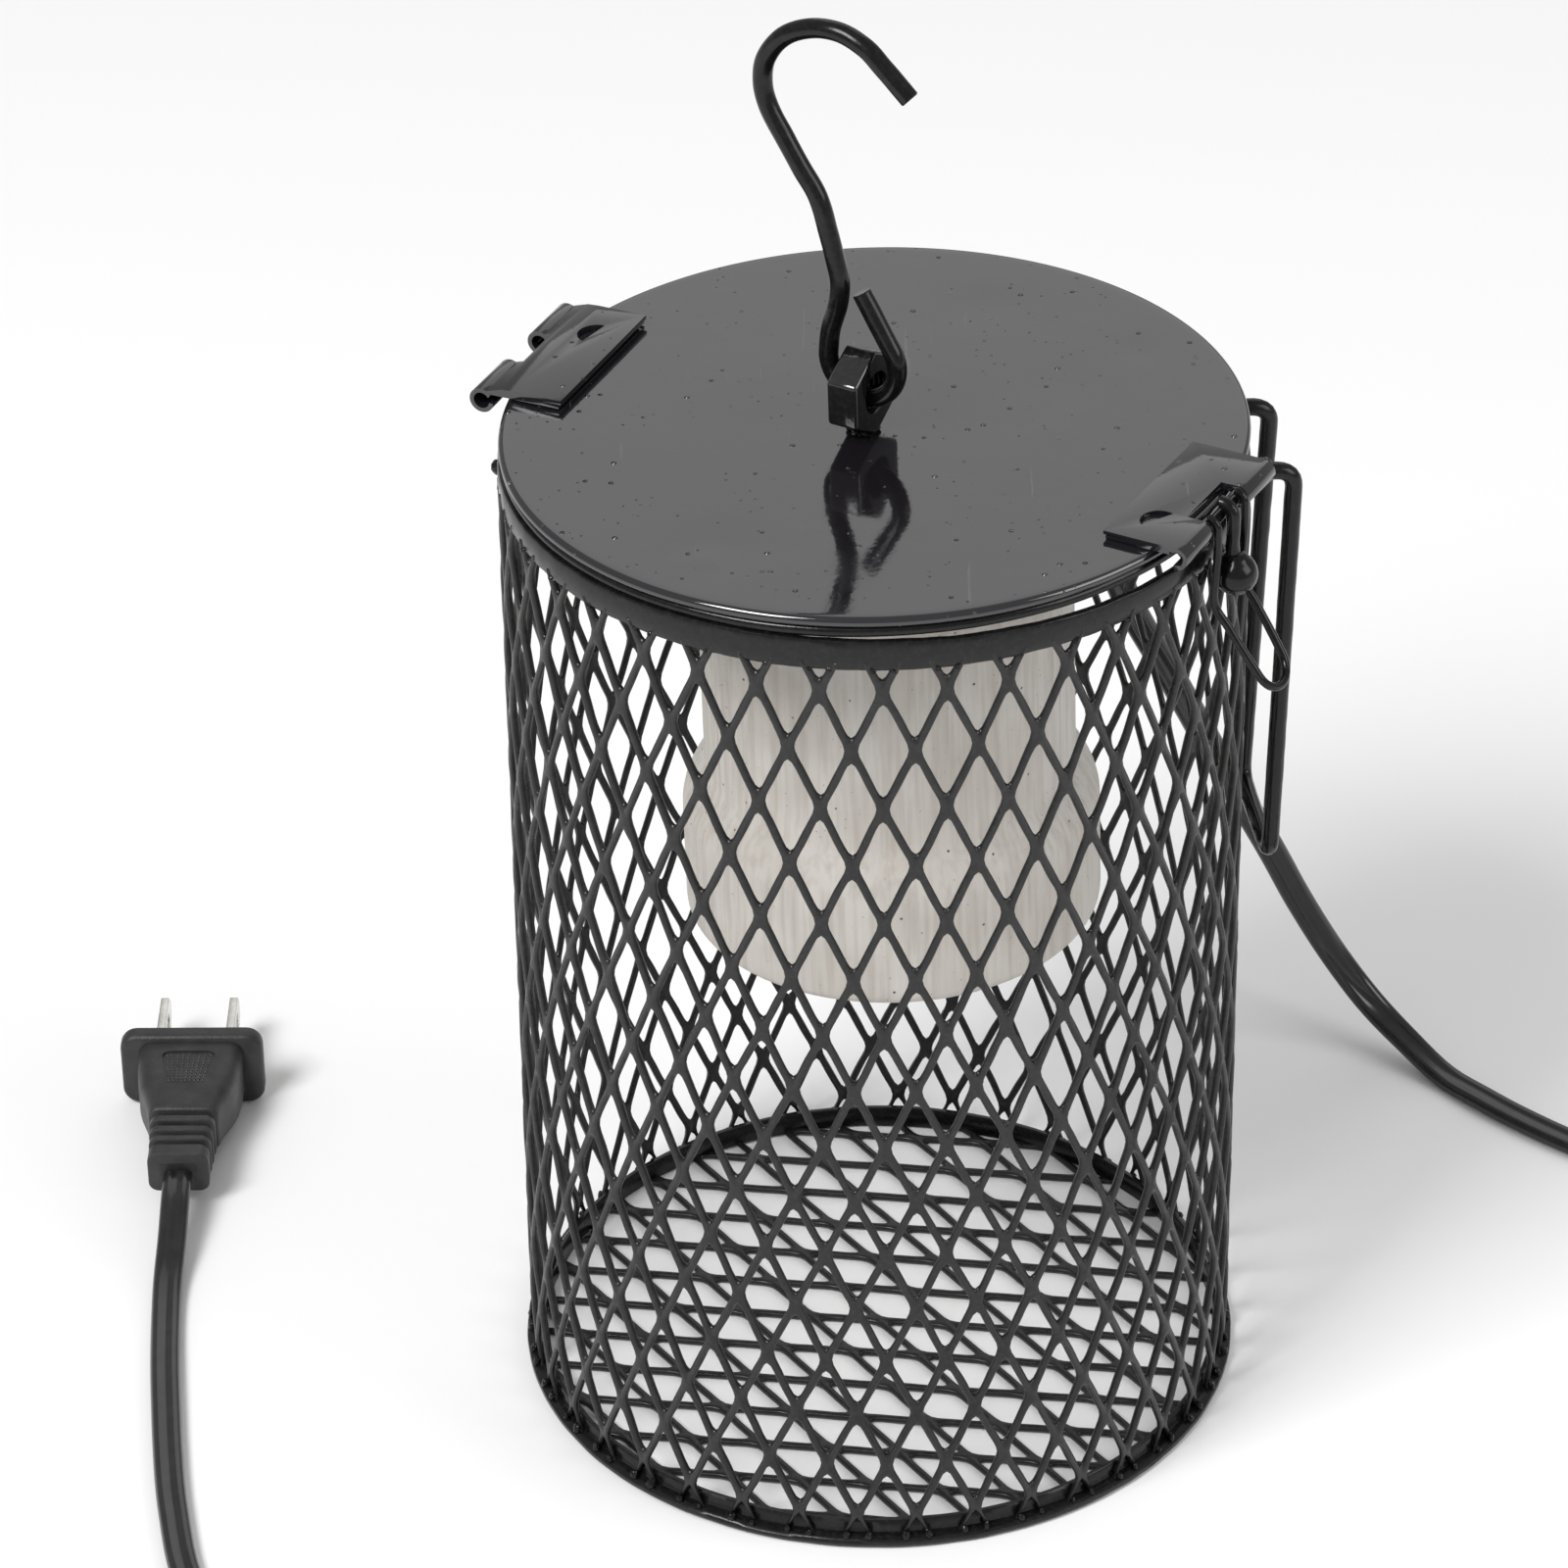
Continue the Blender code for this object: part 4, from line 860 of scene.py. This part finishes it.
def wire_clip():
    bend = PIN_R + 0.95 * MM
    lean, half, length = radians(33), 4.7 * MM, 17.5 * MM

    def down(distance, along):
        return PIN_N + 1.3 * MM + sin(lean) * distance, along, PIN_Z - 13.5 * MM - cos(lean) * distance
    side = [(n, half, z) for n, z in arc((PIN_N, PIN_Z), bend, 85, 0, 6)]
    side += [(PIN_N + bend, half, PIN_Z - 4 * MM), (PIN_N + bend - 0.3 * MM, half, PIN_Z - 8.5 * MM),
             down(0, half), down(4.5 * MM, half * 0.97), down(9 * MM, half * 0.93)]
    tip_r = 4 * MM
    tip = [down(length - tip_r + reach, along) for along, reach in arc((0, 0), tip_r, 0, 180, 9)]
    knots = side + tip + [(n, -t, z) for n, t, z in reversed(side)]
    path = [polar(LATCH_AZ, n, t, z) for n, t, z in knots]
    mesh = rod("clip_loop_full", path, 0.7 * MM, sides=16, rough=0.04, seed=11)
    piece("clip_loop_full", mesh, WIRE_PAINT, "wire_clip", ["clip_loop"], TILT)


# ---- lamp holder ----
def porcelain():
    edge = 1.5 * MM
    profile = [(WELL_R, HOLDER_TOP)] + arc((HOLDER_R - edge, HOLDER_TOP - edge), edge, 90, 0, 6)
    body_low = HOLDER_TOP - edge
    profile += [(HOLDER_R, body_low + (SHOULDER_Z - body_low) * i / 24) for i in range(1, 25)]
    profile += [(HOLDER_R + 0.5 * MM, SHOULDER_Z - 1.2 * MM), (HOLDER_R + 1.5 * MM, SHOULDER_Z - 2.6 * MM),
                (SKIRT_R - 1.3 * MM, SKIRT_TOP + 3.0 * MM), (SKIRT_R - 0.45 * MM, SKIRT_TOP + 1.2 * MM),
                (SKIRT_R - 0.05 * MM, SKIRT_TOP - 0.6 * MM), (SKIRT_R, SKIRT_TOP - 2 * MM)]
    foot = 2.2 * MM
    low = SKIRT_BOTTOM + foot
    profile += [(SKIRT_R, SKIRT_TOP - 2 * MM + (low - SKIRT_TOP + 2 * MM) * i / 8) for i in range(1, 9)]
    profile += arc((SKIRT_R - foot, low), foot, -20, -90, 5)
    profile += [(MOUTH_R, SKIRT_BOTTOM), (MOUTH_R - 1 * MM, LEDGE_Z), (BORE_R + 0.5 * MM, LEDGE_Z),
                (BORE_R, LEDGE_Z + 0.5 * MM), (BORE_R, BORE_TOP), (0, BORE_TOP)]
    lip = [(0, WELL_FLOOR), (WELL_R, WELL_FLOOR)]
    ribs = 150

    def shift(radius, height, angle):
        if radius < HOLDER_R - 0.1 * MM or height > body_low:
            return radius, height
        strength = 0.05 * MM * (0.7 + 0.5 * noise.noise(Vector((cos(angle), sin(angle), 0)) * 6))
        ripple = strength * cos(ribs * angle) * smoothstep(SKIRT_BOTTOM, SKIRT_BOTTOM + 2 * MM, height)
        azimuth = degrees(angle) - (360 if angle > pi else 0)
        inside = (smoothstep(-137, -135.5, azimuth) * (1 - smoothstep(-110, -106, azimuth))
                  * smoothstep(SHOULDER_Z + 3 * MM, SHOULDER_Z + 4.2 * MM, height))
        return radius + ripple - 0.45 * MM * inside, height
    mesh = lathe("porcelain_full", lip + profile, 750, (HOLDER_X, 0), shift)
    piece("porcelain_full", mesh, PORCELAIN, "lid", ["porcelain_holder"], TILT, 32)


def screw_shell():
    """Rolled lamp thread: a thin sheet whose ridge climbs as a helix."""
    pitch, depth, sheet = 3.6 * MM, 0.7 * MM, 0.4 * MM
    steps, rows = 72, 84
    bm = bmesh.new()
    layers = []
    for inset in (0, sheet):
        grid = []
        for row in range(rows + 1):
            z = SHELL_BOTTOM + SHELL_H * row / rows
            ring = []
            for k in range(steps):
                angle = 2 * pi * k / steps
                wave = 0.5 + 0.5 * cos(2 * pi * z / pitch - angle)
                radius = SHELL_R - inset - depth * wave
                ring.append(bm.verts.new((HOLDER_X + radius * cos(angle), radius * sin(angle), z)))
            grid.append(ring)
        layers.append(grid)
    for grid in layers:
        for first, second in zip(grid, grid[1:]):
            bridge(bm, first, second)
    for end in (0, rows):
        bridge(bm, layers[0][end], layers[1][end])
    piece("screw_shell_full", to_mesh("screw_shell_full", bm), BRASS, "lid", ["screw_shell"], TILT)


# ---- cord ----
def route():
    """The cord's centreline: out through the wall, down to the floor, round the coil and to the plug."""
    start = Vector((17.3 * MM, 52.5 * MM, 163.5 * MM))
    drop = [(19.4, 58.7, 160.8), (22.5, 64.5, 157.0), (28.5, 68.5, 148.5), (35.5, 67.5, 133.0),
            (43.2, 65.0, 110.0), (51.9, 68.5, 90.5), (61.5, 75.0, 67.6), (71.0, 80.5, 46.4),
            (76.9, 84.0, 32.4), (83.5, 85.5, 19.6), (90.6, 83.5, 9.8), (97.4, 78.0, 4.6)]
    laid = [(103.8, 71.1), (110.1, 64.1), (116.4, 57.8), (125.6, 50.0), (140.0, 40.0), (154.0, 31.5),
            (168.0, 23.5)]
    low = 1.6 * MM
    knots = [start] + [Vector(p) * MM for p in drop] + [Vector((x * MM, y * MM, low)) for x, y in laid]
    lane, rise = 5.25 * MM, 2.75 * MM
    lanes = [(1, 0), (0, 0), (-1, 0), (-1, 1), (0, 1), (1, 1)]
    first, last = radians(62), radians(-76)
    total = 5 + (first - last) / (2 * pi)
    steps = int(total * 20)
    for i in range(steps + 1):
        turned = total * i / steps
        index = min(5, int(turned))
        into = smoothstep(0.0, 0.16, turned - index)
        before = lanes[max(0, index - 1)]
        now = lanes[index]
        side = before[0] + (now[0] - before[0]) * into
        level = before[1] + (now[1] - before[1]) * into
        angle = first - 2 * pi * turned
        radius = COIL_R + side * lane
        height = low + 1.0 * MM + level * rise
        knots.append(COIL_AT + Vector((radius * cos(angle), radius * sin(angle), height)))
    back = [(154.0, -66.5), (132.0, -74.5), (106.0, -84.0), (76.0, -92.5), (30.0, -99.0), (-30.0, -102.0),
            (-74.0, -101.0), (-99.0, -92.0), (-113.0, -75.0), (-119.0, -52.0), (-123.0, -20.0), (-125.0, 6.0)]
    knots += [Vector((x * MM, y * MM, low)) for x, y in back]
    knots += [PLUG_AT + Vector((0, -50 * MM, 0)), PLUG_AT + Vector((0, -41 * MM, 0)),
              PLUG_AT + Vector((0, -PLUG_LENGTH - 2 * GAP, 0))]
    knots[-3].z, knots[-2].z = 4.6 * MM, 7.1 * MM
    return catmull(knots, 2.4 * MM)


def twin_section():
    """Two conductors side by side with a groove between them."""
    half, r = CORD_W / 4, CORD_T / 2
    right = [(half + r * cos(radians(a)), r * sin(radians(a))) for a in range(-126, 127, 14)]
    left = [(-x, -y) for x, y in right]
    return right + left


def cord():
    path = route()
    section = twin_section()
    lengths = [0.0]
    for p, q in zip(path, path[1:]):
        lengths.append(lengths[-1] + (q - p).length)

    def flat_normal(i, tangent):
        """The flat stands on edge through the wall, faces the front on the way down, and lies flat below."""
        s = lengths[i]
        normal = EXIT_SIDE.lerp(Vector((0.1, -1, 0)), smoothstep(8 * MM, 30 * MM, s))
        normal = normal.lerp(Vector((0, -0.2, 1)), smoothstep(0.165, 0.2, s))
        return normal.cross(tangent)
    mesh = sweep("cord_full", path, lambda i: section, flat_normal)
    flex = piece("cord_full", mesh, CORD_PVC, "cage", ["cord", "cord_coil", "cord_to_plug"],
                 angle=50)
    return flex, path, lengths[-1]


def lead():
    """The cord's stretch inside the cage, from the lamp holder under the lid out to the wall."""
    start = Vector((HOLDER_X + 5 * MM, 14 * MM, WELL_FLOOR + 4 * MM))
    end = Vector((17.2 * MM, 52.2 * MM, 163.6 * MM))
    knots = [start, start + Vector((0.5, 2.0, 5.0)) * MM, start + Vector((2.0, 8.0, 9.5)) * MM,
             Vector((11 * MM, 31 * MM, 171.0 * MM)), Vector((14 * MM, 42 * MM, 168.0 * MM)), end]
    path = catmull(knots, 1.2 * MM)
    section = twin_section()
    mesh = sweep("lead_full", path, lambda i: section, lambda i, t: EXIT_SIDE.cross(t))
    made = piece("lead_full", mesh, CORD_PVC, None, ["lead"], angle=50)
    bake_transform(made)


def coil_tie():
    radius = 0.6 * MM
    reach, tall = 7.8 * MM + GAP + radius, 3.35 * MM
    middle = 4.05 * MM
    azimuth, corner = radians(-20), 1.2 * MM
    loop = []
    for turn, (side, rise) in enumerate(((1, 1), (-1, 1), (-1, -1), (1, -1))):
        at = (COIL_R + side * (reach - corner), middle + rise * (tall - corner))
        loop += arc(at, corner, 90 * turn, 90 * turn + 90, 6)
    points = [COIL_AT + polar(azimuth, n, 0, z) for n, z in loop]
    flat = [(1.5 * MM * cos(2 * pi * k / 16), 0.5 * MM * sin(2 * pi * k / 16)) for k in range(16)]
    across = polar(azimuth, 0, 1)
    mesh = sweep("coil_tie_full", points, lambda i: flat, lambda i, t: across, closed=True)
    knot = [COIL_AT + polar(azimuth, COIL_R + reach + a, b, middle + c) for a, b, c in
            in_mm([(-0.2, 0, 0), (0.9, 1.2, 0.6), (1.0, 3.2, 1.4), (0.5, 6, 1.8)])]
    tail = rod("tie_tail", knot, 0.45 * MM, sides=10)
    mesh = joined("coil_tie_full", mesh, tail)
    return piece("coil_tie_full", mesh, TIE_VINYL, "cage", ["coil_tie"])


# ---- plug ----
def rounded(width, height, corner, steps=6):
    """Rounded rectangle as (side, up) points."""
    out = []
    for start, (sx, sy) in zip((0, 90, 180, 270), ((1, 1), (-1, 1), (-1, -1), (1, -1))):
        out += arc((sx * (width / 2 - corner), sy * (height / 2 - corner)), corner, start, start + 90, steps)
    return out


def loft(name, stations):
    """Skin along -Y from (distance, width, height, corner) stations, on the plug's axis."""
    bm = bmesh.new()
    rows = []
    for distance, width, height, corner in stations:
        rows.append([bm.verts.new(PLUG_AT + Vector((x * MM, -distance * MM, z * MM)))
                     for x, z in rounded(width, height, corner)])
    for first, second in zip(rows, rows[1:]):
        bridge(bm, first, second)
    bm.faces.new(rows[0])
    bm.faces.new(list(reversed(rows[-1])))
    return to_mesh(name, bm)


def plug():
    flange = loft("flange", [(0, 24.6, 13.6, 2.4), (0.25, 25.6, 14.6, 2.9), (0.8, 25.9, 14.9, 3.0),
                             (2.6, 25.9, 14.9, 3.0), (3.1, 25.5, 14.5, 2.9), (3.4, 24.6, 13.6, 2.4)])
    shape = [(3.2, 19.4, 12.6, 2.6), (3.9, 18.9, 12.4, 2.6), (6, 18.7, 12.4, 2.6), (9, 18.5, 12.3, 2.6),
             (12, 17.9, 12.0, 2.6), (14, 16.9, 11.6, 2.5), (16, 15.6, 11.1, 2.4), (18, 14.3, 10.6, 2.3),
             (20, 13.2, 10.0, 2.2), (21.2, 12.8, 9.8, 2.1), (21.8, 12.4, 9.4, 1.9), (22, 11.8, 8.8, 1.7)]
    body = loft("body", shape)
    pad = rounded_trapezoid(9.6 * MM, 7.4 * MM, 9.2 * MM, 1.5 * MM)
    cutters, dots = [], []
    for face in (1, -1):
        place = Matrix.Translation(PLUG_AT + Vector((0, -10.6 * MM, face * 6.15 * MM)))
        facing = place if face > 0 else place @ Matrix.Rotation(pi, 4, "Y")
        cutters.append(slab("pad", pad, -0.35 * MM, 1.5 * MM, facing))
        dots.append(grip_dots(place, face))
    body = subtract(body, *cutters)
    mesh = joined("plug_body_full", bevelled(body, 0.22 * MM, 2, 50), flange, *dots)
    made = [piece("plug_body_full", mesh, PLUG_PVC, "cage", ["plug_body"], angle=45)]
    end = PLUG_LENGTH / MM
    ribs = [loft("core", [(21.9, 8.6, 6.4, 1.6), (end - 0.4, 6.8, 5.0, 1.4), (end, 6.4, 4.6, 1.2)])]
    for low, high, width, tall in ((23.1, 24.9, 11.7, 8.7), (26.1, 27.8, 11.4, 8.5), (28.9, 30.4, 11.1, 8.3),
                                   (31.5, 34.9, 10.9, 8.1)):
        ribs.append(loft("rib", [(low, width - 0.7, tall - 0.7, 1.5), (low + 0.25, width, tall, 1.8),
                                 (high - 0.25, width, tall, 1.8), (high, width - 0.7, tall - 0.7, 1.5)]))
    mesh = joined("plug_relief_full", *ribs)
    made.append(piece("plug_relief_full", mesh, PLUG_PVC, "cage", ["plug_relief"], angle=45))
    for name, side in (("left", -1), ("right", 1)):
        made.append(blade(f"plug_blade_{name}", side))
    return made


def rounded_trapezoid(wide, narrow, length, corner):
    """Grip panel outline, wide end towards the blades."""
    half = length / 2
    points = []
    for (x, y), start in (((wide / 2, half), 0), ((-wide / 2, half), 90), ((-narrow / 2, -half), 180),
                          ((narrow / 2, -half), 270)):
        cx, cy = x - (corner if x > 0 else -corner), y - (corner if y > 0 else -corner)
        points += arc((cx, cy), corner, start, start + 90, 5)
    return points


def grip_dots(place, face):
    """Rows of low pyramids on the recessed panel."""
    bm = bmesh.new()
    rows, columns = 10, 9
    for row in range(rows):
        share = row / (rows - 1)
        width = 8.0 * MM - 1.9 * MM * share
        for column in range(columns):
            x = width * (column / (columns - 1) - 0.5)
            y = 3.9 * MM - 7.8 * MM * share
            size = 0.3 * MM
            base = [bm.verts.new(place @ Vector((x + dx * size, y + dy * size, face * -0.4 * MM)))
                    for dx, dy in ((1, 1), (-1, 1), (-1, -1), (1, -1))]
            tip = bm.verts.new(place @ Vector((x, y, face * -0.02 * MM)))
            for k in range(4):
                bm.faces.new((base[k], base[(k + 1) % 4], tip))
            bm.faces.new(base)
    return to_mesh("dots", bm)


def blade(name, side):
    tall, reach, chamfer, inside = 6.3 * MM, 17 * MM, 1.8 * MM, -5.4 * MM
    outline = [(inside, -tall / 2), (reach - chamfer, -tall / 2), (reach, -tall / 2 + chamfer),
               (reach, tall / 2 - chamfer), (reach - chamfer, tall / 2), (inside, tall / 2)]
    stand = (Matrix.Translation(PLUG_AT + Vector((side * BLADE_GAP / 2, 0, 0)))
             @ Matrix(((0, 0, 1, 0), (1, 0, 0, 0), (0, 1, 0, 0), (0, 0, 0, 1))))
    body = slab(name, outline, -0.75 * MM, 0.75 * MM, stand)
    hole = slab("hole", arc((reach - 5.2 * MM, 0), 1.55 * MM, 0, 345, 23), -3 * MM, 3 * MM, stand)
    mesh = bevelled(subtract(body, hole), 0.22 * MM, 3, 30)
    return piece(name + "_full", mesh, NICKEL, "cage", [name], angle=30)


# ---- carried over from the CAD ----
def finish_kept_nodes():
    """Gives every CAD node that stays visible its finish."""
    for names, material in ((("socket_strap", "socket_screw_left", "socket_screw_right", "socket_nut_left",
                              "socket_nut_right"), ZINC),
                            (("centre_contact", "terminal_rear", "terminal_front"), BRASS)):
        for name in names:
            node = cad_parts[name]
            node.data.materials.clear()
            node.data.materials.append(material)


# ---- stage ----
def stage():
    bm = bmesh.new()
    bmesh.ops.create_grid(bm, x_segments=1, y_segments=1, size=4)
    floor = linked("studio_floor", stored("studio_floor", bm))
    floor.data.materials.append(new_material("pale_floor", (0.92, 0.92, 0.92), 0.95))
    world = bpy.data.worlds.new("studio")
    world.use_nodes = True
    world.node_tree.nodes["Background"].inputs["Color"].default_value = (1, 1, 1, 1)
    world.node_tree.nodes["Background"].inputs["Strength"].default_value = 0.42
    bpy.context.scene.world = world
    bpy.context.scene.view_settings.view_transform = "Standard"
    for name, place, size, power in (("key", (-0.9, -0.9, 1.5), 0.7, 30), ("fill", (1.3, -0.5, 0.9), 0.9, 9),
                                     ("back", (0.2, 1.5, 1.3), 1.4, 4.4)):
        light = bpy.data.lights.new(name, "AREA")
        light.shape = "SQUARE"
        light.size = size
        light.energy = power
        lamp = linked(name, light)
        lamp.location = place
        lamp.rotation_euler = (Vector((0, 0, 0.09)) - Vector(place)).to_track_quat("-Z", "Y").to_euler()


def camera():
    lens = bpy.data.cameras.new("camera")
    lens.sensor_width = 36
    lens.lens = 154.7
    lens.clip_start = 0.05
    eye = linked("camera", lens)
    eye.location = CAMERA_AT
    level = CAMERA_AIM.to_track_quat("-Z", "Y")
    eye.rotation_euler = (level @ Quaternion((0, 0, 1), CAMERA_ROLL)).to_euler()
    bpy.context.scene.camera = eye


stage()
camera()
wall()
floor_net()
rings()
side_hanger()
lid_disc()
hook_bracket()
latch_bracket()
hanger_nut()
s_hook()
ball_arm()
wire_clip()
porcelain()
screw_shell()
lead()
flex, path, length = cord()
on_cord = [coil_tie()] + plug()
finish_kept_nodes()

bpy.context.view_layer.update()
